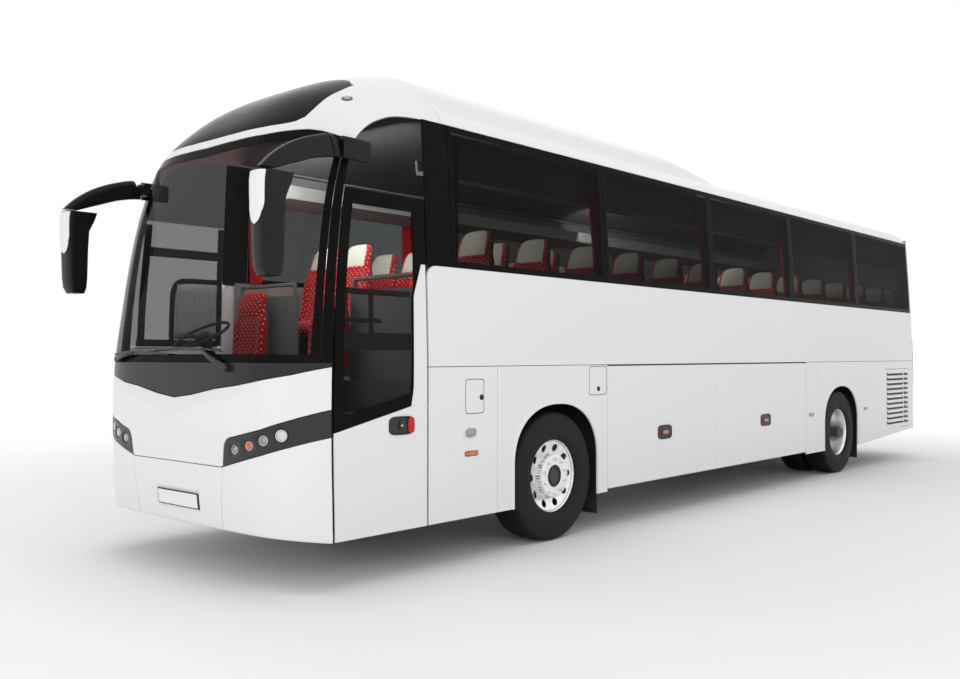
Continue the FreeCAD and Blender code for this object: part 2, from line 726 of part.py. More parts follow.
def door_leaf():
    """Door leaf with its glass opening and the hinge brackets for the arms."""
    leaf = side_slab(CAP_Y - 1200, DOOR_REAR_Y, DOOR_LOW_Z, DOOR_HIGH_Z).common(door_region(DOOR_GAP))
    opening = door_region(DOOR_GAP + DOOR_FRAME)
    opening = opening.common(box(0, 2000, -7000, 0, DOOR_GLASS_LOW_Z, DOOR_HIGH_Z))
    parts = [leaf.cut(opening)]
    bar = side_slab(CAP_Y - 1200, DOOR_REAR_Y, ARM_HIGH_Z - 55, ARM_HIGH_Z + 55, 12, WALL)
    parts.append(bar.common(door_region(DOOR_GAP + 20)))
    for z in (ARM_LOW_Z, ARM_HIGH_Z):
        wall_x = side_x(z) - WALL
        pad = box(LEAF_PIN_X - 5, wall_x + 5, LEAF_PIN_Y - 40, LEAF_PIN_Y + 40,
                  z - ARM_H / 2 - 14, z - ARM_H / 2 - 2)
        top = box(LEAF_PIN_X - 5, wall_x + 5, LEAF_PIN_Y - 40, LEAF_PIN_Y + 40,
                  z + ARM_H / 2 + 2, z + ARM_H / 2 + 14)
        pin = cylinder(PIN_R, ARM_H + 28, (LEAF_PIN_X, LEAF_PIN_Y, z - ARM_H / 2 - 14), (0, 0, 1))
        parts += [pad, top, pin]
    return fuse(parts)


def door_glass():
    """Door pane, bonded to the inside of the leaf's frame."""
    pane = side_slab(CAP_Y - 1200, DOOR_REAR_Y, DOOR_GLASS_LOW_Z - 20, DOOR_HIGH_Z - 40, 0.0, GLASS_T)
    region = door_region(DOOR_GAP + DOOR_FRAME + SEAM)
    region = region.common(box(0, 2000, -7000, 0, DOOR_GLASS_LOW_Z + SEAM, DOOR_HIGH_Z))
    return pane.common(region)


def arm_outline(z):
    """Swan neck arm between the post and the leaf pin, bowed into the step well."""
    post = Vector(POST_X, POST_Y, z)
    knee = Vector(ARM_KNEE_X, ARM_KNEE_Y, z)
    pin = Vector(LEAF_PIN_X, LEAF_PIN_Y, z)
    solids = []
    for a, b in ((post, knee), (knee, pin)):
        run = b.sub(a)
        bar = Part.makeBox(run.Length, ARM_W, ARM_H, Vector(0, -ARM_W / 2, 0))
        angle = math.degrees(math.atan2(run.y, run.x))
        bar.rotate(Vector(0, 0, 0), Vector(0, 0, 1), angle)
        bar.translate(a)
        solids.append(bar)
    for point in (post, knee, pin):
        solids.append(disc_z(ARM_W / 2 + 3, (point.x, point.y), z, z + ARM_H, 8))
    return fuse(solids)


def door_arm():
    """Post and its two arms, one body that turns in the step well."""
    low, high = bearing_levels()
    parts = [disc_z(POST_R, (POST_X, POST_Y), low + BEARING_T, high, 8)]
    for z in (low, high):
        parts.append(cylinder(POST_R - JOURNAL_STEP, BEARING_T, (POST_X, POST_Y, z), (0, 0, 1)))
    for z in (ARM_LOW_Z, ARM_HIGH_Z):
        parts.append(arm_outline(z - ARM_H / 2))
    arm = fuse(parts)
    for z in (ARM_LOW_Z, ARM_HIGH_Z):
        hole = disc_z(bore_size(PIN_R, PIN_SIDES), (LEAF_PIN_X, LEAF_PIN_Y),
                      z - ARM_H / 2 - 10, z + ARM_H / 2 + 10, PIN_SIDES)
        arm = arm.cut(hole)
    return arm


def bearing_levels():
    """Undersides of the post's lower and upper bearing plates."""
    return (ARM_LOW_Z - 90, ARM_HIGH_Z + 40)


def door_portal():
    """Jamb behind the front edge of the leaf, with the post's two bearings."""
    low, high = bearing_levels()
    top = high + BEARING_T
    parts = [box(POST_X - 55, side_x(top) - WALL - 2 * MOVE_GAP, JAMB_FRONT_Y, JAMB_REAR_Y,
                 STEP_Z + SEAT_GAP, top)]
    for z in (low, high):
        parts.append(box(POST_X - 40, POST_X + 25, JAMB_REAR_Y - 12, POST_Y + 30,
                         z, z + BEARING_T))
    portal = fuse(parts)
    journal = bore_size(POST_R - JOURNAL_STEP, PIN_SIDES)
    bore = disc_z(journal, (POST_X, POST_Y), STEP_Z, STEP_Z + 2000, PIN_SIDES)
    return portal.cut(bore)


def tyre(outer_x, half_profile):
    """Tyre turned about the axle from its section, its outer sidewall at outer_x."""
    inner_x = outer_x - TYRE_W
    edge = (TYRE_W - TREAD_W) / 2
    if half_profile:
        section = [(inner_x, BEAD_R + 60), (inner_x + edge, TYRE_R), (outer_x - edge, TYRE_R),
                   (outer_x, BEAD_R + 60), (outer_x - edge, BEAD_R), (inner_x + edge, BEAD_R)]
    else:
        section = [(inner_x + edge, BEAD_R), (inner_x, BEAD_R + 90),
                   (inner_x + edge / 2, TYRE_R - SHOULDER), (inner_x + edge + 6, TYRE_R),
                   (outer_x - edge - 6, TYRE_R), (outer_x - edge / 2, TYRE_R - SHOULDER),
                   (outer_x, BEAD_R + 90), (outer_x - edge, BEAD_R)]
    return turned(section, TYRE_SIDES)


def turned(section, sides):
    """Ring of flat facets about the X axis, from X and radius pairs given in order."""
    faces = []
    corners = []
    for index in range(sides):
        angle = 2 * math.pi * index / sides
        corners.append([Vector(x, r * math.cos(angle), r * math.sin(angle))
                        for x, r in section])
    for near, far in zip(corners, corners[1:] + corners[:1]):
        for index in range(len(section)):
            after = (index + 1) % len(section)
            loop = [near[index], near[after], far[after], far[index], near[index]]
            faces.append(Part.Face(Part.makePolygon(loop)))
    return solid_of(faces)


def on_axle(shape, axle_y):
    moved = shape.copy()
    moved.translate(Vector(0, axle_y, AXLE_Z))
    return moved


def front_rim():
    """Front disc wheel: the dished disc bulges outwards past the tyre's bead."""
    out = WHEEL_OUT_X
    inner = out - TYRE_W + 30
    section = [(inner, RIM_R), (out - 22, RIM_R), (out - 14, RIM_LIP_R),
               (out - 8, RIM_R - RIM_WALL), (out - 45, RIM_R - RIM_WALL - 10), (out - 14, 170),
               (out - 14, HUB_R), (out - 14 - DISC_T, HUB_R), (out - 14 - DISC_T, 168),
               (out - 75, RIM_R - RIM_WALL - 10), (inner, RIM_R - RIM_WALL)]
    return hand_holes(turned(section, TYRE_SIDES), out, 205.0)


def hand_holes(rim, out, radius):
    """Ring of hand holes through the disc."""
    cutters = []
    for index in range(HAND_HOLES):
        angle = 2 * math.pi * (index + 0.25) / HAND_HOLES
        cutter = disc_x(HAND_HOLE_R, out - 150, out + 50, 6)
        cutter.translate(Vector(0, radius, 0))
        cutter.rotate(Vector(0, 0, 0), Vector(1, 0, 0), math.degrees(angle))
        cutters.append(cutter)
    return rim.cut(Part.makeCompound(cutters))


def rear_rims():
    """Twin rear wheels: two barrels on one deep set pair of discs."""
    out = WHEEL_OUT_X
    mid = out - TYRE_W / 2 - TWIN_PITCH / 2
    parts = []
    outer = [(mid + 8, RIM_R), (out - 22, RIM_R), (out - 14, RIM_LIP_R),
             (out - 8, RIM_R - RIM_WALL), (mid + 8 + DISC_T, RIM_R - RIM_WALL),
             (mid + 8 + DISC_T, HUB_R), (mid + 8, HUB_R)]
    inner = [(2 * mid - x, r) for x, r in outer]
    for section in (outer, inner):
        parts.append(turned(section, TYRE_SIDES))
    parts.append(turned([(mid - 9, HUB_R), (mid + 9, HUB_R), (mid + 9, 180), (mid - 9, 180)], TYRE_SIDES))
    return fuse(parts)


def twin_tyres():
    """Outer and inner tyre of a rear pair."""
    return [tyre(WHEEL_OUT_X, False), tyre(WHEEL_OUT_X - TWIN_PITCH, True)]



def knuckle():
    """Front knuckle: kingpin fork, spindle and brake body inside the wheel."""
    back = KINGPIN_X + EYE_R + 8
    face = back + BRAKE_T
    spindle = cylinder(SPINDLE_R, WHEEL_OUT_X - 10 - back, (back, 0, 0), (1, 0, 0))
    web = box(back, face, -55, 55, -FORK_HALF_H, FORK_HALF_H)
    parts = [disc_x(BRAKE_R, back, face, 12), spindle, web]
    for low in (-FORK_HALF_H, EYE_HALF_H + MOVE_GAP):
        high = low + FORK_HALF_H - EYE_HALF_H - MOVE_GAP
        cheek = box(KINGPIN_X, back + 10, -45, 45, low, high)
        parts += [cheek, disc_z(EYE_R + 5, (KINGPIN_X, 0), low, high, 8)]
    bore = disc_z(bore_size(KINGPIN_R, PIN_SIDES), (KINGPIN_X, 0), -200, 200, PIN_SIDES)
    return fuse(parts).cut(bore)


def front_hub_bore():
    return disc_x(bore_size(SPINDLE_R, HUB_SIDES), KINGPIN_X, KINGPIN_X + 400, HUB_SIDES)


def front_hub():
    """Hub that turns on the spindle and carries the disc."""
    out = WHEEL_OUT_X
    start = KINGPIN_X + EYE_R + BRAKE_T + 10
    return disc_x(HUB_R + 2, start, out - 4, 12).cut(front_hub_bore())


def front_axle():
    """Beam between the kingpins, with its eyes, kingpins and spring seats."""
    y = FRONT_AXLE_Y
    low = AXLE_Z - 120
    half = KINGPIN_X - 2 * EYE_R
    parts = [box(-half, half, y - 45, y + 45, low, AXLE_Z - 30)]
    for side in (-1, 1):
        x = side * KINGPIN_X
        parts.append(box(x - side * 150, x, y - 35, y + 35, AXLE_Z - EYE_HALF_H, AXLE_Z + 30))
        parts.append(disc_z(EYE_R, (x, y), AXLE_Z - EYE_HALF_H, AXLE_Z + EYE_HALF_H, 8))
        parts.append(cylinder(KINGPIN_R, 2 * FORK_HALF_H, (x, y, AXLE_Z - FORK_HALF_H),
                              (0, 0, 1)))
        parts.append(box(side * RAIL_X - 60, side * RAIL_X + 60, y - 60, y + 60, low,
                         RAIL_LOW_Z))
    return fuse(parts)


def rear_axle():
    """Rear beam with its differential housing and the spring seats under the rails."""
    half = WHEEL_OUT_X - 6
    seat = WHEEL_OUT_X - TYRE_W / 2 - TWIN_PITCH / 2 - 60
    beam = on_axle(disc_x(SPINDLE_R, -seat, seat, 8), REAR_AXLE_Y)
    case = on_axle(disc_x(DIFF_R, -DIFF_HALF_W, DIFF_HALF_W, 12), REAR_AXLE_Y)
    parts = [beam, case]
    for side in (-1, 1):
        parts.append(cylinder(SPINDLE_R, half - seat, (side * seat, REAR_AXLE_Y, AXLE_Z),
                              (side, 0, 0)))
        parts.append(box(side * RAIL_X - 60, side * RAIL_X + 60, REAR_AXLE_Y - 60,
                         REAR_AXLE_Y + 60, AXLE_Z - 40, RAIL_LOW_Z))
    return fuse(parts)


def rear_hub():
    out = WHEEL_OUT_X
    mid = out - TYRE_W / 2 - TWIN_PITCH / 2
    drum = disc_x(HUB_R + 4, mid - 60, out - 30, 12)
    return drum.cut(disc_x(bore_size(SPINDLE_R, HUB_SIDES), mid - 200, mid + 700, HUB_SIDES))


def rail_pair(y0, y1, z0, z1):
    return [box(side * RAIL_X - RAIL_W / 2, side * RAIL_X + RAIL_W / 2, y0, y1, z0, z1)
            for side in (-1, 1)]


def longeron_z():
    """Underside of the beams that carry the deck over the luggage bay."""
    return DECK_Z - DECK_T - LONGERON_H


def chassis_frame():
    """Front and rear subframes joined by beams over the luggage bay."""
    deck_low = DECK_Z - DECK_T
    front_end = BAY_FRONT_Y - 15
    rear_end = BAY_REAR_Y + 60
    parts = rail_pair(FRAME_FRONT_Y, front_end, RAIL_LOW_Z, RAIL_HIGH_Z)
    parts += rail_pair(rear_end, FRAME_REAR_Y, RAIL_LOW_Z, RAIL_HIGH_Z)
    parts += rail_pair(front_end - 60, rear_end + 60, longeron_z(), deck_low)
    parts += rail_pair(front_end - 60, front_end, RAIL_LOW_Z, deck_low)
    parts += rail_pair(rear_end, rear_end + 60, RAIL_LOW_Z, deck_low)
    inner = HALF_W - WALL
    for y in (-3900, front_end - 60, rear_end, REAR_AXLE_Y + 775, FRAME_REAR_Y - 60):
        parts.append(box(-inner, inner, y, y + 60, RAIL_LOW_Z, RAIL_LOW_Z + 120))
    parts.append(box(-FRONT_CROSS_HALF, FRONT_CROSS_HALF, FRAME_FRONT_Y, FRAME_FRONT_Y + 60,
                     RAIL_LOW_Z, RAIL_LOW_Z + 120))
    for side in (-1, 1):
        for y in (JACK_FRONT_Y, JACK_REAR_Y):
            parts.append(box(side * RAIL_X - JACK_HALF, side * RAIL_X + JACK_HALF, y - JACK_HALF,
                             y + JACK_HALF, RAIL_LOW_Z - JACK_T, RAIL_LOW_Z))
        horn = box(side * RAIL_X - 30, side * RAIL_X + 30, -5800, FRAME_FRONT_Y,
                   RAIL_LOW_Z + 30, RAIL_LOW_Z + 110)
        parts.append(inner_piece(horn, end_shell(FRONT_LEVELS, SHELL_T)))
    return fuse(parts)


def inner_piece(shape, shell):
    """The piece of shape that a front skin leaves on its inner side."""
    return max(shape.cut(shell).Solids, key=lambda solid: solid.CenterOfMass.y)


def outer_piece(shape, shell):
    """The piece of shape that a front skin leaves on its outer side."""
    return min(shape.cut(shell).Solids, key=lambda solid: solid.CenterOfMass.y)


def floor_deck():
    """Passenger deck from the cab to the tail."""
    inner = HALF_W - WALL
    return box(-inner, inner, CAB_REAR_Y, REAR_SIDE_Y - 60, DECK_Z - DECK_T, DECK_Z)


def cab_floor():
    """Low floor in the cab and the riser up to the passenger deck."""
    inner = HALF_W - WALL
    low = CAB_Z - DECK_T
    cab = box(-DASH_OUT_X + 10, STEP_IN_X, CAB_FLOOR_FRONT_Y, CAB_REAR_Y, low, CAB_Z)
    side = box(-inner, STEP_IN_X, CAB_FLOOR_FRONT_Y + 180, CAB_REAR_Y, low, CAB_Z)
    riser = box(-inner, STEP_IN_X, CAB_REAR_Y - RISER_T, CAB_REAR_Y, low, DECK_Z)
    return fuse([cab, side, riser])


def entrance_steps():
    """Steps up from the doorway, with the walls beside and behind them."""
    inner = HALF_W - WALL
    outer = inner - MOVE_GAP
    front = JAMB_FRONT_Y
    side = STEP_IN_X + SEAT_GAP
    back = CAB_REAR_Y - SEAT_GAP
    wall_y = back - RISER_T
    parts = [box(side, outer, front, back, STEP_Z - STEP_T, STEP_Z),
             box(side, STEP_EDGE_X, front, back, SECOND_STEP_Z - STEP_T, SECOND_STEP_Z),
             box(side, side + RISER_T, front, back, STEP_Z - STEP_T, CAB_Z),
             box(side, inner, wall_y, back, STEP_Z - STEP_T, DECK_Z)]
    for index, z in enumerate((CAB_Z, (CAB_Z + DECK_Z) / 2)):
        tread = wall_y - TREAD_D * (2 - index)
        parts.append(box(side, STEP_EDGE_X, tread, wall_y, z - STEP_T, z))
    return fuse(parts)


def wheel_housings():
    """Boxes over the wheels, open to the outside."""
    parts = []
    for axle_y, inner_x, half in ((FRONT_AXLE_Y, 590.0, STEER_SWEEP_R),
                                  (REAR_AXLE_Y, 560.0, REAR_HOUSING_HALF)):
        out = HALF_W - WALL - SEAT_GAP
        shell = box(inner_x, out, axle_y - half, axle_y + half, 700, ARCH_TOP_Z + 40)
        space = box(inner_x + 4, out + 5, axle_y - half + 4, axle_y + half - 4, 0, ARCH_TOP_Z + 36)
        housing = shell.cut(space)
        parts += [housing, mirrored(housing)]
    return Part.makeCompound(parts)


def luggage_bay():
    """Floor, end walls and middle wall of the luggage space between the axles."""
    inner = HALF_W - WALL - SEAT_GAP
    low = BAY_FLOOR_Z - 30
    high = DECK_Z - DECK_T - SEAT_GAP
    front = BAY_FRONT_Y - 10
    back = BAY_REAR_Y + 10
    parts = [box(-inner, inner, front, back, low, BAY_FLOOR_Z),
             box(-inner, inner, front, front + 20, low, high),
             box(-inner, inner, back - 20, back, low, high),
             box(-20, 20, front, back, low, high)]
    bay = fuse(parts)
    for beam in rail_pair(front - 100, back + 100, longeron_z() - SEAM, DECK_Z):
        bay = bay.cut(beam)
    return bay


def service_door():
    """Louvred side door of the engine bay."""
    leaf = side_slab(SERVICE_FRONT_Y, SERVICE_REAR_Y, SERVICE_LOW_Z, SERVICE_HIGH_Z, 0.0, FLAP_T)
    pitch = (SERVICE_HIGH_Z - SERVICE_LOW_Z - 60) / SLOT_COUNT
    for index in range(SLOT_COUNT):
        z = SERVICE_LOW_Z + 30 + pitch * (index + 0.5)
        leaf = leaf.cut(box(0, 2000, SERVICE_FRONT_Y + 50, SERVICE_REAR_Y - 50,
                            z - pitch * 0.3, z + pitch * 0.3))
    return leaf


def mirror_part(side, plan):
    """Form that fills its side outline and its plan outline, both given for the left side."""
    long = prism_x(side, HALF_W - 200, HALF_W + 100)
    wide = prism_z([(HALF_W + out, y) for out, y in plan], MIRROR_LOW_Z - 50, 3000)
    return long.common(wide)


def mirror_head():
    """Left mirror: base on the roof corner, curved arm and hanging head with its raked shield."""
    arm = mirror_part(MIRROR_ARM_SIDE, MIRROR_ARM_PLAN)
    head = mirror_part(MIRROR_SIDE, MIRROR_PLAN)
    return outer_piece(fuse([arm, head]), end_shell(FRONT_LEVELS, SHELL_T))


def mirrors():
    return both(mirror_head())


def wipers():
    """Two wipers parked along the lower edge of the windscreen."""
    solids = []
    skin = end_shell(FRONT_LEVELS, SHELL_T)
    for pivot_x, tip_x in ((-820.0, -40.0), (620.0, -200.0)):
        run = Vector(tip_x - pivot_x, 0, 60)
        arm = Part.makeBox(run.Length, 16, 24, Vector(0, -8, -12))
        arm.rotate(Vector(0, 0, 0), Vector(0, 1, 0), -math.degrees(math.atan2(run.z, run.x)))
        arm.translate(Vector(pivot_x, -5718, 1470))
        pin = box(pivot_x - 14, pivot_x + 14, -5726, -5586, 1456, 1484)
        solids.append(outer_piece(fuse([arm, pin]), skin))
    return Part.makeCompound(solids)


def dashboard():
    """Instrument panel across the cab under the windscreen."""
    knee_z = CAB_Z + DASH_KNEE_H
    top_z = CAB_Z + DASH_H
    shape = prism_x([(DASH_FRONT_Y, CAB_Z), (DASH_REAR_Y - 120, CAB_Z), (DASH_REAR_Y, knee_z),
                     (DASH_REAR_Y - 20, top_z - 20), (DASH_REAR_Y - 150, top_z),
                     (DASH_FRONT_Y - 40, top_z - 70)], -DASH_OUT_X, STEP_IN_X - 40)
    return inner_piece(shape, end_shell(FRONT_LEVELS, SHELL_T))


def steering_wheel():
    """Wheel rim, spokes and column on the driver's side."""
    rim = turned([(-14, 211), (-14, 239), (14, 239), (14, 211)], 16)
    rim.rotate(Vector(0, 0, 0), Vector(0, 1, 0), 90)
    hub = disc_z(60, (0, 0), -30, 10)
    parts = [rim, hub, box(-220, 220, -15, 15, -14, 2), box(-15, 15, -220, 0, -14, 2)]
    parts.append(disc_z(32, (0, 0), -490, -10, 8))
    wheel = fuse(parts)
    wheel.rotate(Vector(0, 0, 0), Vector(1, 0, 0), -28)
    wheel.translate(Vector(-DRIVER_X, WHEEL_RIM_Y, CAB_Z + WHEEL_RIM_H))
    pieces = wheel.cut(dashboard()).Solids
    return max(pieces, key=lambda solid: solid.CenterOfMass.z)


def crew_seat(x, y):
    """Single seat about a point: pedestal, cushion and leaning back."""
    half = CREW_SEAT_W / 2
    low = CAB_Z + CREW_SEAT_H
    high = low + CREW_CUSHION_T
    top = low + CREW_BACK_H
    base = box(x - half + 70, x + half - 70, y - 190, y + 150, CAB_Z + SEAT_GAP, low)
    cushion = box(x - half, x + half, y - 260, y + 200, low, high)
    back = prism_x([(y + 130, high - 10), (y + 240, high - 10), (y + 330, top - 60),
                    (y + 300, top), (y + 240, top - 20)], x - half + 10, x + half - 10)
    return fuse([base, cushion, back])


def crew_seats():
    """Driver's seat and the guide's seat."""
    return Part.makeCompound([crew_seat(-DRIVER_X, CREW_SEAT_Y), crew_seat(GUIDE_X, CREW_SEAT_Y)])


def row_places():
    """Y of each row's cushion front on one side."""
    return [ROW_FIRST_Y + ROW_PITCH * index for index in range(ROW_COUNT)]


def seat_base(y, x, width):
    """Cushion on its pedestal, its rear edge at y."""
    cushion = box(x - width / 2, x + width / 2, y - SEAT_D, y, CUSHION_LOW_Z,
                  CUSHION_LOW_Z + CUSHION_T)
    leg = box(x - 60, x + 60, y - SEAT_D + 60, y - 60, DECK_Z + SEAT_GAP, CUSHION_LOW_Z)
    return fuse([cushion, leg])


def seat_back(y, x, width):
    """Leaning back with its rounded top, standing on the cushion."""
    low = CUSHION_LOW_Z + CUSHION_T + SEAT_GAP
    top = y + BACK_LEAN
    outline = [(y - BACK_T, low), (y, low), (top, BACK_TOP_Z - 60), (top - 30, BACK_TOP_Z),
               (top - 65, BACK_TOP_Z - 10), (top - 90, BACK_TOP_Z - 90)]
    return prism_x(outline, x - width / 2, x + width / 2)


def bench_y():
    """Rear edge of the cushion of the bench across the tail."""
    return ROW_FIRST_Y + ROW_PITCH * ROW_COUNT


def seat_bases():
    """Cushions with their pedestals, one solid for each pair of seats and one bench."""
    solids = [seat_base(y, SEAT_X, SEAT_W) for y in row_places()]
    bench = seat_base(bench_y(), 0, 2 * SEAT_X + SEAT_W)
    return Part.makeCompound(solids + [mirrored(s) for s in solids] + [bench])


def seat_backs():
    """Leaning backs, one solid for each pair of seats and one along the bench."""
    solids = [seat_back(y, SEAT_X, SEAT_W) for y in row_places()]
    bench = seat_back(bench_y(), 0, 2 * SEAT_X + SEAT_W)
    return Part.makeCompound(solids + [mirrored(s) for s in solids] + [bench])


def cab_partition():
    """Low walls behind the driver and beside the steps, with a rail on top of each."""
    y = CAB_REAR_Y + PARTITION_SET
    walls = []
    for x0, x1 in ((-PARTITION_OUT_X, -PARTITION_IN_X), (PARTITION_IN_X, PARTITION_OUT_X)):
        wall = box(x0, x1, y, y + PARTITION_T, DECK_Z + SEAT_GAP, PARTITION_TOP_Z)
        middle = y + PARTITION_T / 2
        rise = PARTITION_TOP_Z + 90
        rail = tube([Vector(x0 + 40, middle, PARTITION_TOP_Z - 10), Vector(x0 + 40, middle, rise),
                     Vector(x1 - 40, middle, rise), Vector(x1 - 40, middle, PARTITION_TOP_Z - 10)],
                    RAIL_R)
        walls.append(fuse([wall, rail]))
    return Part.makeCompound(walls)


def luggage_racks():
    """Overhead racks along both sides: a tray with a lip, hung from the header."""
    high = RACK_TOP_Z
    low = high - RACK_H
    back = side_x(high) - WALL - SEAT_GAP
    wall = HEAD_X - RACK_SET
    lip = wall - RACK_W
    rack = prism_y([(lip, low + 50), (wall, low), (wall, high - RACK_T), (back, high - RACK_T),
                    (back, high), (wall - RACK_T, high), (wall - RACK_T, low + 35),
                    (lip + 15, low + 78), (lip + 5, low + 160), (lip - 15, low + 160)],
                   RACK_FRONT_Y, RACK_REAR_Y)
    return both(rack)


def curtains():
    """Gathered curtains at the window pillars, as plain soft solids."""
    depth = WALL + SEAT_GAP
    solids = []
    for y in [FIRST_GLASS_Y + 90] + PANE_SEAMS + [LAST_GLASS_Y - 110]:
        solids.append(side_slab(y - 90, y + 90, SILL_Z + 20, HEAD_Z - 90, depth, depth + 35))
    return Part.makeCompound(solids + [mirrored(s) for s in solids])


def engine_block():
    half = RAIL_X - RAIL_W / 2 - SEAT_GAP
    return box(-half, half, 4150, FRAME_REAR_Y - 70, RAIL_LOW_Z - 90, RAIL_HIGH_Z + 300)


def mudflaps():
    """Rubber flaps behind the wheels."""
    solids = []
    for y in (FRONT_AXLE_Y + STEER_SWEEP_R, REAR_AXLE_Y + REAR_HOUSING_HALF):
        start = y + SEAT_GAP
        flap = box(HALF_W - 325, HALF_W - 50, start, start + MUDFLAP_T, MUDFLAP_LOW_Z,
                   MUDFLAP_HIGH_Z)
        solids += [flap, mirrored(flap)]
    return Part.makeCompound(solids)


def main():
    os.makedirs("parts", exist_ok=True)
    save("front_cap", front_cap())
    save("windscreen", windscreen())
    save("front_panel", front_panel())
    save("headlamps", headlamps())
    save("front_bumper", front_bumper())
    save("rear_wall", rear_wall())
    save("rear_window", rear_window())
    save("rear_bumper", rear_bumper())
    save("tail_lamps", tail_lamps())
    save("engine_door", engine_door())
    save("side_left", side_left())
    save("side_right", side_right())
    save("side_glass", side_glass())
    save("roof_panel", roof_panel())
    save("roof_pod", roof_pod())
    save("door_leaf", door_leaf())
    save("door_glass", door_glass())
    save("door_arm", door_arm())
    save("door_portal", door_portal())
    for index, name in enumerate(("front", "rear")):
        flap = luggage_flap(index)
        save("flap_left_" + name, flap)
        save("flap_right_" + name, mirrored(flap))
    save("service_door_left", service_door())
    save("service_door_right", mirrored(service_door()))
    save("chassis_frame", chassis_frame())
    save("floor_deck", floor_deck())
    save("cab_floor", cab_floor())
    save("entrance_steps", entrance_steps())
    save("wheel_housings", wheel_housings())
    save("luggage_bay", luggage_bay())
    save("engine_block", engine_block())
    save("front_axle", front_axle())
    save("rear_axle", rear_axle())
    save("mudflaps", mudflaps())
    front_tyre = on_axle(tyre(WHEEL_OUT_X, False), FRONT_AXLE_Y)
    front_wheel = on_axle(fuse([front_rim(), front_hub()]), FRONT_AXLE_Y)
    left_knuckle = on_axle(knuckle(), FRONT_AXLE_Y)
    rear_tyres = on_axle(Part.makeCompound(twin_tyres()), REAR_AXLE_Y)
    rear_wheels = on_axle(fuse([rear_rims(), rear_hub()]), REAR_AXLE_Y)
    for name, shape in (("tyre_front", front_tyre), ("rim_front", front_wheel),
                        ("knuckle", left_knuckle), ("tyres_rear", rear_tyres),
                        ("rims_rear", rear_wheels)):
        save(name + "_left", shape)
        save(name + "_right", mirrored(shape))
    save("mirrors", mirrors())
    save("wipers", wipers())
    save("dashboard", dashboard())
    save("steering_wheel", steering_wheel())
    save("crew_seats", crew_seats())
    save("seat_bases", seat_bases())
    save("seat_backs", seat_backs())
    save("cab_partition", cab_partition())
    save("luggage_racks", luggage_racks())
    save("curtains", curtains())


main()
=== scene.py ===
import math

import bmesh
import bpy
import numpy as np
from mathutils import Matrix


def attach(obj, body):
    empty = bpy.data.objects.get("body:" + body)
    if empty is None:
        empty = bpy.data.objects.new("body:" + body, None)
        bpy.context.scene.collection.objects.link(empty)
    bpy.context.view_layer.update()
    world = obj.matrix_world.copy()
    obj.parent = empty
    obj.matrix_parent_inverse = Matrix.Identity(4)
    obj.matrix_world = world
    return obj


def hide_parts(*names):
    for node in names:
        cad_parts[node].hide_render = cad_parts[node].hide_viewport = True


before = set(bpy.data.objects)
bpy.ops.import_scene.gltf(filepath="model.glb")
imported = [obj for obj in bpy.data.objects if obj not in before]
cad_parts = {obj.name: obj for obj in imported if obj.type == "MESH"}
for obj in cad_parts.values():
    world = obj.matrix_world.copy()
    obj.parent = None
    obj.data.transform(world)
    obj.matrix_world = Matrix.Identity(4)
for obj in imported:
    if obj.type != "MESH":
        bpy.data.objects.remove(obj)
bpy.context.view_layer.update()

# Camera. It stands low off the front left corner of the coach, at about eye height,
# and looks back along the body through a moderate lens.
CAMERA_AT = (5.9379, -9.2066, 1.4905)
CAMERA_TILT = 90.947
CAMERA_TURN = 41.702
CAMERA_LENS = 35.871
camera = bpy.data.objects.new("camera", bpy.data.cameras.new("camera"))
camera.location = CAMERA_AT
camera.rotation_euler = (math.radians(CAMERA_TILT), 0.0, math.radians(CAMERA_TURN))
camera.data.sensor_width = 36.0
camera.data.lens = CAMERA_LENS
bpy.context.scene.collection.objects.link(camera)
bpy.context.scene.camera = camera
bpy.context.scene.view_settings.view_transform = "Standard"


class Wire:
    """A node's output socket that takes part in sums: each operator adds one Math node."""

    def __init__(self, nodes, socket):
        self.nodes = nodes
        self.socket = socket

    def math(self, operation, first, second):
        return self.nodes.add("Math", {"operation": operation}, {0: first, 1: second})

    def __rsub__(self, other):
        return self.math("SUBTRACT", other, self)

    def step(self, low, high):
        """Rises smoothly from 0 at low to 1 at high."""
        return self.nodes.add("MapRange", {"interpolation_type": "SMOOTHSTEP"},
                              {"Value": self, "From Min": low, "From Max": high})


for sign, kind in {"add": "ADD", "sub": "SUBTRACT", "mul": "MULTIPLY", "truediv": "DIVIDE",
                   "pow": "POWER", "mod": "FLOORED_MODULO", "gt": "GREATER_THAN"}.items():
    setattr(Wire, f"__{sign}__", lambda self, other, kind=kind: self.math(kind, self, other))


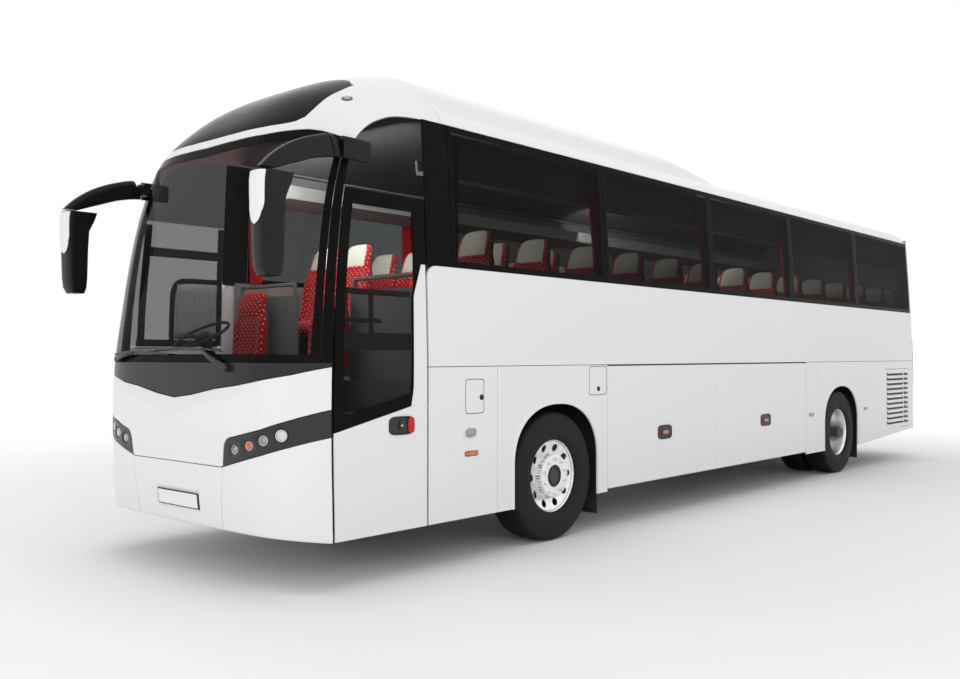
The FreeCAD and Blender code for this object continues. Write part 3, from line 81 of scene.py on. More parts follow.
class Nodes:
    """Node tree of a material or of the world; add() makes every node in it."""

    def __init__(self, owner, end="ShaderNodeOutputMaterial"):
        owner.use_nodes = True
        self.owner = owner
        self.tree = owner.node_tree
        self.tree.nodes.clear()
        self.end = self.tree.nodes.new(end)

    def add(self, kind, settings=None, sockets=None, output=0):
        """A node of this kind: its settings first, then a value or a wire in each socket."""
        node = self.tree.nodes.new("ShaderNode" + kind)
        for key, value in (settings or {}).items():
            setattr(node, key, value)
        for key, value in (sockets or {}).items():
            if isinstance(value, Wire):
                self.tree.links.new(value.socket, node.inputs[key])
            else:
                node.inputs[key].default_value = value
        return Wire(self, node.outputs[output])

    def finish(self, shader):
        """Gives the owner this shader as its surface."""
        self.tree.links.new(shader.socket, self.end.inputs["Surface"])
        return self.owner

    def place(self, axis=None):
        """Object coordinates, or one of their axes as a number."""
        wire = self.add("TexCoord", output=3)
        return wire if axis is None else self.add("SeparateXYZ", None, {0: wire}, "XYZ".index(axis))

    def noise(self, scale, detail=3.0, stretch=(1.0, 1.0, 1.0)):
        """Noise about 0.5 over Object coordinates, scale cells a metre, stretched by axis."""
        where = self.add("VectorMath", {"operation": "MULTIPLY"}, {0: self.place(), 1: stretch})
        return self.add("TexNoise", None, {"Vector": where, "Scale": scale, "Detail": detail})

    def tint(self, factor, first, second):
        """Colour between two colours or wires."""
        return self.add("Mix", {"data_type": "RGBA"}, {0: factor, 6: first, 7: second}, 2)

    def bump(self, height, depth, strength):
        return self.add("Bump", None, {"Height": height, "Distance": depth,
                                       "Strength": strength})

    def principled(self, **sockets):
        return self.add("BsdfPrincipled", None,
                        {key.replace("_", " "): value for key, value in sockets.items()})

    def coat(self, **sockets):
        """The owner with one principled shader as its whole surface."""
        return self.finish(self.principled(**sockets))


def new_material(name):
    return Nodes(bpy.data.materials.new(name))


def tone(red, green=None, blue=None):
    """Linear colour of a display colour given as 0 to 255; one number is a grey."""
    parts = [red, red if green is None else green, red if blue is None else blue]
    return tuple(((part / 255 + 0.055) / 1.055) ** 2.4 for part in parts) + (1.0,)


def darker(tint, share):
    """The colour with this share of its light."""
    return tuple(share * part for part in tint[:3]) + (1.0,)


# Studio. A white sweep surrounds the coach, and the pale floor runs out into it with no edge.
# Large soft boxes hang above the roof and stand beside the camera.
SKY_LIGHT = 0.60
world = bpy.data.worlds.new("studio")
bpy.context.scene.world = world
studio = Nodes(world, "ShaderNodeOutputWorld")
seen = [studio.add("LightPath", output=name)
        for name in ("Is Camera Ray", "Is Glossy Ray", "Is Transmission Ray")]
lit = studio.add("Background", None, {"Color": tone(255), "Strength": SKY_LIGHT})
shown = studio.add("Background", None, {"Color": tone(255), "Strength": 1.0})
studio.finish(studio.add("MixShader", None, {0: seen[0] + seen[1] + seen[2], 1: lit, 2: shown}))


def soft_box(name, place, aim, width, height, power):
    """Rectangular area light at place that faces the point aim."""
    light = bpy.data.objects.new(name, bpy.data.lights.new(name, "AREA"))
    light.data.shape = "RECTANGLE"
    light.data.size = width
    light.data.size_y = height
    light.data.energy = power
    towards = np.array(aim, float) - np.array(place, float)
    away = math.atan2(math.hypot(towards[0], towards[1]), -towards[2])
    light.location = place
    light.rotation_euler = (away, 0.0, math.atan2(towards[1], towards[0]) - math.pi / 2)
    light.visible_camera = False
    light.visible_glossy = False
    bpy.context.scene.collection.objects.link(light)


soft_box("roof_light", (0.0, -1.5, 10.0), (0.0, -1.5, 0.0), 9.0, 16.0, 340.0)
soft_box("side_light", (11.0, -12.0, 5.0), (1.0, -3.0, 1.3), 10.0, 6.0, 290.0)
soft_box("front_light", (1.0, -16.0, 2.6), (0.0, -5.0, 0.9), 9.0, 4.0, 170.0)

FLOOR_HALF = 70.0
FADE_START = 4.0
FADE_END = 11.5
floor_mesh = bpy.data.meshes.new("studio_floor")
corners = [(-FLOOR_HALF, -FLOOR_HALF, 0), (FLOOR_HALF, -FLOOR_HALF, 0),
           (FLOOR_HALF, FLOOR_HALF, 0), (-FLOOR_HALF, FLOOR_HALF, 0)]
floor_mesh.from_pydata(corners, [], [(0, 1, 2, 3)])
studio_floor = bpy.data.objects.new("studio_floor", floor_mesh)
bpy.context.scene.collection.objects.link(studio_floor)
floor_nodes = new_material("floor_paint")
reach = floor_nodes.add("VectorMath", {"operation": "LENGTH"}, {0: floor_nodes.place()}, 1)
near = floor_nodes.principled(Base_Color=tone(253), Roughness=0.6)
far = floor_nodes.add("Emission", None, {"Color": tone(255), "Strength": 1.0})
floor_mesh.materials.append(floor_nodes.finish(floor_nodes.add(
    "MixShader", None, {0: reach.step(FADE_START, FADE_END), 1: near, 2: far})))

# Chassis. Two pressed side rails with cross members carry the body on dark painted steel,
# with cast beam axles below and the engine block and gearbox hung behind the rear axle.
def painted_steel(name, tint, rough):
    """Sprayed chassis paint: slightly uneven sheen, with dust settled on faces that look up."""
    nodes = new_material(name)
    cloud = nodes.noise(2.5, 5.0)
    facing = nodes.add("SeparateXYZ", None, {0: nodes.add("NewGeometry", output=1)}, 2)
    dust = facing.step(0.3, 1.0) * cloud.step(0.42, 0.7) * 0.5
    return nodes.coat(Base_Color=nodes.tint(dust, tint, tone(120, 116, 108)),
                      Roughness=cloud * 0.25 + (rough - 0.12),
                      Normal=nodes.bump(nodes.noise(90.0, 2.0), 0.0006, 0.5))


def dress(material, *nodes):
    """The CAD nodes keep their shape and take this finish."""
    for node in nodes:
        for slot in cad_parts[node].material_slots:
            slot.material = material


def rubber(name, shade, rough=0.6):
    """Black rubber: a fine moulded grain and a dusty bloom in broad patches."""
    nodes = new_material(name)
    bloom = nodes.noise(6.0, 4.0)
    return nodes.coat(
        Base_Color=nodes.tint(bloom.step(0.35, 0.75), tone(shade), tone(shade + 14)),
        Roughness=bloom * 0.2 + (rough - 0.1),
        Normal=nodes.bump(nodes.noise(220.0, 2.0), 0.0004, 0.6))


dress(painted_steel("frame_paint", tone(46, 47, 49), 0.5), "chassis_frame", "wheel_housings",
      "door_portal", "door_arm")
dress(painted_steel("cast_iron", tone(58, 58, 58), 0.62), "front_axle", "rear_axle",
      "knuckle_left", "knuckle_right", "engine_block")
dress(painted_steel("hold_lining", tone(96, 97, 99), 0.55), "luggage_bay")
dress(rubber("mudflap_rubber", 26, 0.7), "mudflaps")

# Side walls. Painted sheet panels on the body frame stand upright below the waist rail and lean
# in above it; narrow shadow gaps part them, and the arches are cut round the wheels.
HALF_W = 1.275
BELT_Z = 1.410
SILL_Z = 2.120
SILL_X = 1.254
HEAD_Z = 3.150
HEAD_X = 1.195
SKIRT_Z = 0.320
SKIRT_RISE = 0.100
SKIRT_RISE_Y = 3.600
DOOR_REAR_Y = -4.505
REAR_SIDE_Y = 5.695
GAP = 0.0025
PANEL_T = 0.016
PANEL_EDGE = 0.002
ARCH_HALF = 0.550
ARCH_TOP_Z = 1.100
ARCH_SQUARE = 2.25
ARCH_LIP = 0.008
ARCH_LIP_W = 0.034
ARCH_EASE = 0.020
ARCH_MID_Z = 0.640
FRONT_AXLE_Y = -3.035
REAR_AXLE_Y = 2.925
WELD = 1e-5


def cells(rows, columns):
    """Corner numbers of the quads of a grid of points counted row by row."""
    corner = np.arange(rows * columns).reshape(rows, columns)
    quads = [corner[:-1, :-1], corner[:-1, 1:], corner[1:, 1:], corner[1:, :-1]]
    return np.stack(quads, -1).reshape(-1, 4)


def finished(grids):
    """The grids, each with the number of its finish."""
    return [grid if isinstance(grid, tuple) else (grid, 0) for grid in grids]


def piece(name, grids, finish, slot, replaces=(), wall=0.0, edge=0.0, body="coach_body",
          sharp=38.0, turn_out=False):
    """One object from grids of points, welded where they meet.

    Each grid is rows x columns x 3, and columns crossed with rows point outwards. A grid may come
    with the number of its finish. A wall thickens the sheet inwards and edge rounds its rim.
    """
    grids = finished(grids)
    starts = np.cumsum([0] + [grid.shape[0] * grid.shape[1] for grid, _ in grids])
    points = np.concatenate([grid.reshape(-1, 3) for grid, _ in grids])
    quads = [cells(*grid.shape[:2]) + start for (grid, _), start in zip(grids, starts)]
    numbers = np.concatenate([np.full(len(faces), number)
                              for faces, (_, number) in zip(quads, grids)])
    mesh = bpy.data.meshes.new(name)
    mesh.from_pydata(points, [], np.concatenate(quads))
    mesh.polygons.foreach_set("material_index", numbers.astype(np.int32))
    welded = bmesh.new()
    welded.from_mesh(mesh)
    bmesh.ops.remove_doubles(welded, verts=welded.verts, dist=WELD)
    bmesh.ops.dissolve_degenerate(welded, edges=welded.edges, dist=WELD)
    if turn_out:
        bmesh.ops.recalc_face_normals(welded, faces=welded.faces)
    welded.to_mesh(mesh)
    welded.free()
    mesh.shade_smooth()
    mesh.set_sharp_from_angle(angle=math.radians(sharp))
    for material in finish if isinstance(finish, (list, tuple)) else [finish]:
        mesh.materials.append(material)
    made = bpy.data.objects.new(name, mesh)
    bpy.context.scene.collection.objects.link(made)
    if wall:
        solid = made.modifiers.new("wall", "SOLIDIFY")
        solid.thickness = wall
        solid.offset = -1.0
        solid.use_even_offset = True
    if edge:
        rim = made.modifiers.new("rim", "BEVEL")
        rim.width = edge
        rim.segments = 2
        rim.limit_method = "ANGLE"
        rim.angle_limit = math.radians(50.0)
        rim.harden_normals = True
    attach(made, body)
    if replaces:
        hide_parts(*replaces)
    return made


def body_paint(name, tint, rough=0.22):
    """Gloss coach enamel: orange peel under a clear coat, and a little road film low down."""
    nodes = new_material(name)
    cloud = nodes.noise(0.9, 3.0)
    film = (1.0 - nodes.place("Z").step(0.25, 0.95)) * (cloud * 0.5 + 0.25) * 0.10
    return nodes.coat(
        Base_Color=nodes.tint(film, tint, tone(176, 172, 164)),
        Roughness=cloud * 0.04 + (rough - 0.02),
        Coat_Weight=0.12, Coat_Roughness=0.08, Specular_IOR_Level=0.3,
        Normal=nodes.bump(nodes.noise(320.0, 1.0), 0.00006, 0.4))


white_paint = body_paint("white_paint", tone(236, 236, 237))


def side_x(z):
    """Half width at height z: upright to the waist, then a parabola through sill and header."""
    near, far = SILL_Z - BELT_Z, HEAD_Z - BELT_Z
    curve = ((HALF_W - HEAD_X) / far - (HALF_W - SILL_X) / near) / (far - near)
    lean = (HALF_W - SILL_X) / near - curve * near
    up = np.maximum(z - BELT_Z, 0.0)
    return HALF_W - lean * up - curve * up * up


def side_grid(y, z, depth=0.0):
    """Left hand sheet over arrays of y along the columns and z up the rows, set in by depth."""
    y, z = np.broadcast_arrays(y, z)
    return np.stack([side_x(z) - depth, y, z], -1)


def other_side(grid):
    """The same grid on the right hand side, with its columns turned round."""
    return grid[:, ::-1] * np.array([-1.0, 1.0, 1.0])


def mirrored(grids):
    """Right hand copies of left hand grids."""
    return [(other_side(grid), number) for grid, number in finished(grids)]


def pair(name, grids, finish, slot, replaces=(), *sizes, body="coach_body", **settings):
    """The same piece on the left and the right side; {} in its texts stands for the hand."""
    for hand, own in (("left", grids), ("right", mirrored(grids))):
        piece(name.format(hand), own, finish, slot, [node.format(hand) for node in replaces],
              *sizes, body=body.format(hand), **settings)


def ladder(low, high, count):
    """Even steps from low to high, one to a row."""
    return np.linspace(low, high, count)[:, None]


def between(low, high, count):
    """Rows from one edge to the other, both given along the columns."""
    return low + (high - low) * ladder(0.0, 1.0, count)


def squared(angle, power):
    """Cosine and sine of the angle raised to a power: a superellipse, squarer when it is low."""
    return [np.sign(wave) * np.abs(wave) ** power for wave in (np.cos(angle), np.sin(angle))]


def skirt_z(y):
    """Lower edge of the body side: level, then rising evenly behind the rear wheels."""
    run = np.clip((y - SKIRT_RISE_Y) / (REAR_SIDE_Y - SKIRT_RISE_Y), 0.0, 1.0)
    return SKIRT_Z + SKIRT_RISE * run


def arch_line(axle_y, angle):
    """Wheel arch edge: a superellipse over the wheel that runs down to the skirt as uprights."""
    across, rise = squared(angle, 2.0 / ARCH_SQUARE)
    return axle_y - ARCH_HALF * across, ARCH_MID_Z + (ARCH_TOP_Z - ARCH_MID_Z) * rise


def arch_panel(front, rear, low, high, axle_y):
    """Panel with a wheel arch: spokes run from the arch edge out to the panel's outline.

    A low flared lip stands out along the arch edge and eases back into the panel.
    """
    count = 48
    angle = np.linspace(0.0, math.pi, 2 * count + 1)
    inner_y, inner_z = arch_line(axle_y, angle)
    inner_y = np.concatenate([[inner_y[0]] * 2, inner_y, [inner_y[-1]] * 2])
    inner_z = np.concatenate([[low, (low + inner_z[0]) / 2], inner_z,
                              [(low + inner_z[-1]) / 2, low]])
    share = np.linspace(0.0, 1.0, len(inner_y))
    side = 0.3
    outer_y = np.interp(share, [0, side, 1 - side, 1], [front, front, rear, rear])
    outer_z = np.interp(share, [0, side, 1 - side, 1], [low, high, high, low])
    out = np.concatenate([np.linspace(1.0, 0.3, 5), np.linspace(0.24, 0.0, 13)])[:, None]
    y = inner_y + (outer_y - inner_y) * out
    z = inner_z + (outer_z - inner_z) * out
    away = np.hypot(outer_y - inner_y, outer_z - inner_z) * out
    flare = np.clip((ARCH_LIP_W - away) / ARCH_EASE, 0.0, 1.0)
    return side_grid(y, z, -ARCH_LIP * flare * flare * (3 - 2 * flare))[::-1]


def side_panel(front, rear, low, high, columns=9):
    """Plain panel between two heights."""
    return side_grid(np.linspace(front, rear, columns), between(low, high, 9))


PANEL_SEAMS = [-3.775, -2.325, -0.395, 1.840, 2.151, 3.595]
SERVICE_FRONT_Y = 4.540
SERVICE_REAR_Y = 5.510
SERVICE_LOW_Z = 0.460
SERVICE_HIGH_Z = 1.296
low_panels = [side_panel(DOOR_REAR_Y + GAP, PANEL_SEAMS[0] - GAP, SKIRT_Z, BELT_Z - GAP),
              arch_panel(PANEL_SEAMS[0] + GAP, PANEL_SEAMS[1] - GAP, SKIRT_Z, BELT_Z - GAP,
                         FRONT_AXLE_Y),
              side_panel(PANEL_SEAMS[3] + GAP, PANEL_SEAMS[4] - GAP, SKIRT_Z, BELT_Z - GAP),
              arch_panel(PANEL_SEAMS[4] + GAP, PANEL_SEAMS[5] - GAP, SKIRT_Z, BELT_Z - GAP,
                         REAR_AXLE_Y)]


def low_rear_panel():
    """Panel behind the rear wheels with its hole for the service door, as four strips round it."""
    front = np.linspace(PANEL_SEAMS[5] + GAP, SERVICE_FRONT_Y - GAP, 6)
    middle = np.linspace(SERVICE_FRONT_Y - GAP, SERVICE_REAR_Y + GAP, 6)
    rear = np.linspace(SERVICE_REAR_Y + GAP, REAR_SIDE_Y, 4)
    whole = np.concatenate([front, middle[1:], rear[1:]])
    upright = ladder(SERVICE_LOW_Z - GAP, SERVICE_HIGH_Z + GAP, 6)
    return [side_grid(whole, between(skirt_z(whole), upright[0], 4)),
            side_grid(whole, between(upright[-1], BELT_Z - GAP, 4)),
            side_grid(front, upright), side_grid(rear, upright)]


BAND_CORNER = 0.085
SILL_GAP = 0.003


def waist_band():
    """Long panel under the windows; its top front corner is a quarter circle."""
    turn = np.linspace(0.0, math.pi / 2, 9)
    corner_y = DOOR_REAR_Y + GAP + BAND_CORNER * (1 - np.cos(turn))
    corner_z = SILL_Z - SILL_GAP - BAND_CORNER * (1 - np.sin(turn))
    y = np.concatenate([corner_y, np.linspace(corner_y[-1], REAR_SIDE_Y, 24)[1:]])
    high = np.concatenate([corner_z, np.full(23, SILL_Z - SILL_GAP)])
    return side_grid(y, between(BELT_Z + GAP, high, 10))


pair("side_panels_{}", low_panels + low_rear_panel() + [waist_band()], white_paint, "white_paint",
     ("side_{}",), PANEL_T, PANEL_EDGE)

# Front end. The moulded nose, corner panels and roof dome are one flowing surface, set out here
# as a family of cross sections from the skirt to the roof; panels are pieces cut out of it.


def smooth_through(places, values, wanted):
    """Cubic curve through the values whose slopes never overshoot between them."""
    gap = np.diff(places)
    slope = np.diff(values) / gap
    bend = np.zeros(len(places))
    one, two = 2 * gap[1:] + gap[:-1], gap[1:] + 2 * gap[:-1]
    same = slope[:-1] * slope[1:] > 0
    safe = np.where(same, slope[:-1] * slope[1:], 1.0)
    bend[1:-1] = np.where(same, (one + two) * safe / (one * slope[1:] + two * slope[:-1]
                                                      + (~same)), 0.0)
    bend[0], bend[-1] = slope[0], slope[-1]
    at = np.clip(np.searchsorted(places, wanted) - 1, 0, len(places) - 2)
    part = (wanted - places[at]) / gap[at]
    rest = 1 - part
    return ((1 + 2 * part) * rest ** 2 * values[at] + part * rest ** 2 * gap[at] * bend[at]
            + part ** 2 * (3 - 2 * part) * values[at + 1]
            + part ** 2 * (part - 1) * gap[at] * bend[at + 1])


class Shell:
    """Flowing surface through cross sections, from the lowest level to the top.

    Each level has the middle's height and place along the coach, the side's, and the power with
    which the section, flat in the middle, turns back at the sides. A point is found by across,
    -1 to 1 from side to side, and run, the distance up the middle. Facing is 1 for the front end
    and -1 for the rear.
    """

    def __init__(self, levels, facing):
        self.levels = np.array(levels)
        self.facing = facing
        steps = np.hypot(*np.diff(self.levels[:, :2], axis=0).T)
        self.run = np.concatenate([[0.0], np.cumsum(steps)])

    def point(self, across, run):
        across, run = np.broadcast_arrays(across, run)
        mid_z, mid_y, side_z, side_y, power = [smooth_through(self.run, column, run)
                                               for column in self.levels.T]
        turned = np.abs(across) ** power
        return np.stack([side_x(side_z) * across, mid_y + (side_y - mid_y) * turned,
                         mid_z + (side_z - mid_z) * turned], -1)

    def normal(self, across, run):
        """Outward unit normal, from small steps both ways."""
        step = 1e-4
        sideways = self.point(across + step, run) - self.point(across - step, run)
        upward = self.point(across, run + step) - self.point(across, run - step)
        normal = np.cross(sideways, upward) * self.facing
        return normal / np.linalg.norm(normal, axis=-1, keepdims=True)

    def sheet(self, across, run, out=0.0):
        """Grid of points moved out along the normal, its columns in the order seen from outside."""
        across, run = np.broadcast_arrays(across, run)
        out = np.asarray(out)[..., None]
        return (self.point(across, run) + self.normal(across, run) * out)[:, ::self.facing]

    def middle_run(self, height):
        """Distance up the middle at a height there."""
        return np.interp(height, self.levels[:, 0], self.run)


nose = Shell([
    (0.345, -5.650, 0.311, -5.346, 6.50), (0.560, -5.678, 0.560, -5.352, 6.50),
    (0.820, -5.687, 0.820, -5.358, 6.50), (1.095, -5.697, 1.120, -5.361, 6.20),
    (1.207, -5.700, 1.290, -5.360, 6.00), (1.410, -5.685, 1.447, -5.357, 6.00),
    (1.838, -5.650, 1.838, -5.336, 5.00), (2.442, -5.575, 2.442, -5.262, 4.00),
    (2.790, -5.500, 2.695, -5.201, 3.40), (3.010, -5.420, 2.903, -5.119, 3.00),
    (3.190, -5.265, 3.050, -4.945, 3.00), (3.390, -4.995, 3.120, -4.745, 3.20),
    (3.560, -4.620, 3.142, -4.530, 3.40), (3.640, -4.300, 3.150, -4.300, 3.64)], 1)
FRONT_RUN = nose.run


def run_at(across, height):
    """Distance up the middle at which each column of the front surface reaches the height."""
    run = np.linspace(0.0, FRONT_RUN[-1], 500)
    heights = nose.point(across[None, :], run[:, None])[..., 2]
    height = np.broadcast_to(height, across.shape)
    return np.array([np.interp(z, column, run) for z, column in zip(height, heights.T)])


def spread(low, high, count):
    """Columns from low to high that crowd together towards the corners of the coach."""
    return np.sin(np.linspace(math.asin(low), math.asin(high), count))


# Nose panel. It stands proud of the black screen above it in a shallow ridge with a crisp upper
# crease, and is cut away below for the lamps on both sides.
PLATE_TOP_Z = 0.766
NOSE_OUT = 0.044
NOSE_FADE_X = 1.05
CHEVRON = [(0.0, 1.205), (0.217, 1.228), (0.486, 1.273), (0.786, 1.306), (0.907, 1.332),
           (1.108, 1.369), (1.273, 1.419)]
CREASE = [(0.0, 1.072), (0.093, 1.088), (0.324, 1.154), (0.456, 1.184), (0.663, 1.212),
          (0.876, 1.252), (1.100, 1.300), (1.275, 1.345)]
LAMP_TOP = [(0.569, 0.772), (0.583, 0.885), (0.592, 0.918), (0.613, 0.945), (0.650, 0.962),
            (0.708, 0.973), (0.927, 1.024), (1.108, 1.086), (1.275, 1.149)]
LAMP_LOW = [(0.569, 0.769), (0.924, 0.861), (1.108, 0.919), (1.275, 0.978)]
NOSE_EDGE_ACROSS = 0.9985


def drawn(points, at):
    """Value at a place on a line drawn through pairs of numbers."""
    return np.interp(at, *np.array(points).T)


def line(points, x):
    """Height of a drawn line at distance x from the middle."""
    return drawn(points, np.abs(x))


def nose_out(across, run, low, crease, chevron):
    """How far the nose stands out: a rise from its lower edge to the crease, then a facet back."""
    fade = np.clip(1 - np.abs(across) * HALF_W / NOSE_FADE_X, 0.0, 1.0)
    climb = np.clip((run - low) / (crease - low), 0.0, 1.0)
    fall = np.clip((chevron - run) / (chevron - crease), 0.0, 1.0)
    return NOSE_OUT * fade * np.minimum(climb ** 1.5, fall)


def nose_grids():
    """Nose from the plate panel and the lamps up to the crease, and the facet above the crease."""
    edge = np.array([point[0] for point in LAMP_TOP[:-1]]) / HALF_W
    inner = spread(-edge[0], edge[0], 41)
    outer = np.unique(np.concatenate([edge, spread(edge[-2], NOSE_EDGE_ACROSS, 16)]))
    across = np.unique(np.concatenate([-outer, inner, outer]).round(7))
    x = across * HALF_W
    height = np.where(np.abs(x) < LAMP_TOP[0][0] - 1e-4, PLATE_TOP_Z + GAP,
                      line(LAMP_TOP, x) + GAP)
    low = run_at(across, height)
    base = run_at(across, np.minimum(height, PLATE_TOP_Z))
    crease = run_at(across, line(CREASE, x))
    chevron = run_at(across, line(CHEVRON, x) - GAP)
    sheets = [between(low, crease, 18), between(crease, chevron, 6)]
    return [nose.sheet(across, run, nose_out(across, run, base, crease, chevron))
            for run in sheets]


piece("nose_panel", nose_grids(), white_paint, "white_paint", ("front_cap", "front_panel"),
      PANEL_T, PANEL_EDGE, sharp=9.0)


# Black screen base. Below the windscreen a gloss black panel carries the wipers; its lower edge
# is the chevron of the nose, and a rubber seal closes the joints from behind.
def gloss_black(name, shade, rough, shine=0.5):
    """Piano black enamel with a faint haze of dust in it."""
    nodes = new_material(name)
    haze = nodes.noise(5.0, 4.0)
    return nodes.coat(
        Base_Color=nodes.tint(haze, tone(shade - 6), tone(shade + 6)),
        Roughness=haze * 0.08 + rough, Specular_IOR_Level=shine,
        Normal=nodes.bump(nodes.noise(260.0, 1.0), 0.00004, 0.4))


def screen_foot(across):
    """Lower edge of the glass: a level line, and one just above the chevron."""
    return (run_at(across, SCREEN_LOW_Z + 0.014),
            run_at(across, line(CHEVRON, across * HALF_W) + 0.02))


black_gloss = gloss_black("black_gloss", 18, 0.12, 0.03)
mask_gloss = gloss_black("mask_gloss", 34, 0.25, 0.30)
joint_rubber = rubber("joint_rubber", 16, 0.7)
SCREEN_LOW_Z = 1.432
SCREEN_EDGE = 0.965
SEAL_T = 0.004
base_across = spread(-NOSE_EDGE_ACROSS, NOSE_EDGE_ACROSS, 61)
base_low = run_at(base_across, line(CHEVRON, base_across * HALF_W) + GAP)
base_high = np.maximum(screen_foot(base_across)[0], base_low + 0.012)
seal_run = between(base_low - 0.025, base_high + 0.030, 6)
piece("nose_seal", [nose.sheet(base_across, seal_run, -0.020)], joint_rubber, "rubber", (), SEAL_T)
piece("screen_base", [nose.sheet(base_across, between(base_low, base_high - GAP, 8))],
      mask_gloss, "black_gloss", (), PANEL_T, PANEL_EDGE)

# Windscreen. One bonded laminated pane with a printed black border, raked back and wrapped round
# to the pillars at both sides.
SCREEN_TOP = [(0.0, 2.640), (0.25, 2.648), (0.50, 2.668), (0.68, 2.702), (0.76, 2.718),
              (0.84, 2.716), (0.965, 2.681), (1.0, 2.664)]
SCREEN_T = 0.007
PANE_EDGE = 0.001
BORDER_SIDE = 0.030
BORDER_LOW = 0.050
BORDER_TOP = 0.070
GLASS_MIRROR = 0.14


def glass(name, through):
    """Tinted pane: light passes straight through the tint at each face and the rest is mirrored.

    Reflection grows towards grazing angles, as on any polished glass.
    """
    nodes = new_material(name)
    mirror = nodes.principled(Base_Color=tone(250), Metallic=1.0,
                              Roughness=nodes.noise(3.0, 4.0) * 0.03 + 0.02)
    clear = nodes.add("BsdfTransparent", None, {"Color": through})
    outward = 1.0 - nodes.add("NewGeometry", output="Backfacing")
    share = nodes.add("Fresnel", None, {"IOR": 1.45}) * outward * GLASS_MIRROR
    return nodes.finish(nodes.add("MixShader", None, {0: share, 1: clear, 2: mirror}))


screen_glass = glass("screen_glass", tone(212, 212, 211))
screen_across = np.concatenate([
    spread(-SCREEN_EDGE, -SCREEN_EDGE + BORDER_SIDE, 4)[:-1],
    spread(-SCREEN_EDGE + BORDER_SIDE, SCREEN_EDGE - BORDER_SIDE, 69),
    spread(SCREEN_EDGE - BORDER_SIDE, SCREEN_EDGE, 4)[1:]])
level_foot, chevron_foot = screen_foot(screen_across)
screen_low = np.maximum(level_foot + GAP, chevron_foot)
screen_top = line(SCREEN_TOP, screen_across) - GAP
screen_rows = [between(screen_low, screen_low + BORDER_LOW, 3),
               between(screen_low + BORDER_LOW, screen_top - BORDER_TOP, 40),
               between(screen_top - BORDER_TOP, screen_top, 4)]
spans = [slice(0, 4), slice(3, -3), slice(-4, None)]
piece("windscreen_pane", [(nose.sheet(screen_across[span], run[:, span]), int((i, j) != (1, 1)))
                          for i, run in enumerate(screen_rows) for j, span in enumerate(spans)],
      [screen_glass, black_gloss], "clear_glass", ("windscreen",), SCREEN_T, PANE_EDGE)

# Pillars beside the screen. Black mouldings close the corner between the windscreen and the door.
pillar = np.linspace(SCREEN_EDGE + 0.002, NOSE_EDGE_ACROSS, 9)
pillar_run = between(np.maximum(*screen_foot(pillar)) + GAP, line(SCREEN_TOP, pillar) - GAP, 30)
pair("screen_pillar_{}", [nose.sheet(pillar, pillar_run)], black_gloss, "black_gloss", (),
     PANEL_T, PANEL_EDGE)

# Roof dome. A white moulding caps the windscreen and sweeps back over the cab; a gloss black
# panel with rounded corners is let into its brow.
DOME_SIDE = [(2.50, 0.700), (2.79, 0.690), (2.83, 0.689), (2.935, 0.685), (3.143, 0.665),
             (3.292, 0.660), (3.56, 0.640)]
DOME_LOW = [(0.0, 2.712), (0.22, 2.717), (0.45, 2.738), (0.572, 2.757), (0.64, 2.776),
            (0.672, 2.800), (0.69, 2.840)]
DOME_HIGH = [(0.0, 3.600), (0.45, 3.600), (0.56, 3.590), (0.61, 3.570), (0.64, 3.52),
             (0.69, 3.50)]
DOME_SHARE = 0.66
DOME_ACROSS = 0.69
BROW_ACROSS = 0.695


def dome_grid(share, low, high, rows, trim=0.0):
    """Grid whose columns follow the black panel's side edge.

    Share runs -1 to 1 with the edge at plus and minus DOME_SHARE, and trim draws the edge in.
    """
    run = between(low, high, rows)
    edge = drawn(DOME_SIDE, run) - trim
    size = np.abs(share)
    inside = size / DOME_SHARE * edge
    outside = edge + (size - DOME_SHARE) / (1 - DOME_SHARE) * (1 - edge)
    return np.sign(share) * np.where(size <= DOME_SHARE, inside, outside), run


middle = np.linspace(-DOME_SHARE, DOME_SHARE, 41)
outer = DOME_SHARE + (1 - DOME_SHARE) * np.sin(np.linspace(0, math.pi / 2, 22))
shares = np.concatenate([-outer[::-1], middle[1:-1], outer])


def at_share(points, share):
    """Value of a line drawn over the surface's own across, read at a share of the dome grid."""
    return line(points, share * DOME_ACROSS / DOME_SHARE)


def over_screen(share):
    """Upper edge of the windscreen, read at a share of the dome grid."""
    across = np.interp(np.abs(share), [0.0, DOME_SHARE, 1.0], [0.0, BROW_ACROSS, 1.0])
    return drawn(SCREEN_TOP, across) + GAP


brow, rear = at_share(DOME_LOW, shares), at_share(DOME_HIGH, shares)
cap_grids = [nose.sheet(*dome_grid(shares, over_screen(shares), brow, 5)),
             nose.sheet(*dome_grid(shares, rear, np.full(len(shares), FRONT_RUN[-1]), 14))]
cap_grids += [nose.sheet(*dome_grid(shares[span], brow[span], rear[span], 34))
              for span in (slice(0, 22), slice(-22, None))]
piece("roof_dome", cap_grids, white_paint, "white_paint", (), PANEL_T, 0.003)
inlay = dome_grid(middle, at_share(DOME_LOW, middle) + 0.003,
                  at_share(DOME_HIGH, middle) - 0.003, 40, 0.0025)
piece("dome_panel", [nose.sheet(*inlay, -0.001)], black_gloss, "black_gloss", (), PANEL_T, 0.002)

# Roof. A thin crowned skin joins the side headers, and the fairing carries the dome's section back
# along the middle before it slopes down to the plain roof over the rear half.
ROOF_Z = 3.380
ROOF_POWER = 6.5
POD_TOP_Z = 3.640
POD_POWER = 3.64
CAP_Y = -4.300
CAP_BLEND = 0.35
POD_HALF_W = 0.985
POD_SIDE = 0.060
POD_FALL = [(-4.3, 1.0), (-0.60, 1.0), (-0.36, 0.80), (-0.10, 0.47), (0.04, 0.36), (0.22, 0.0)]


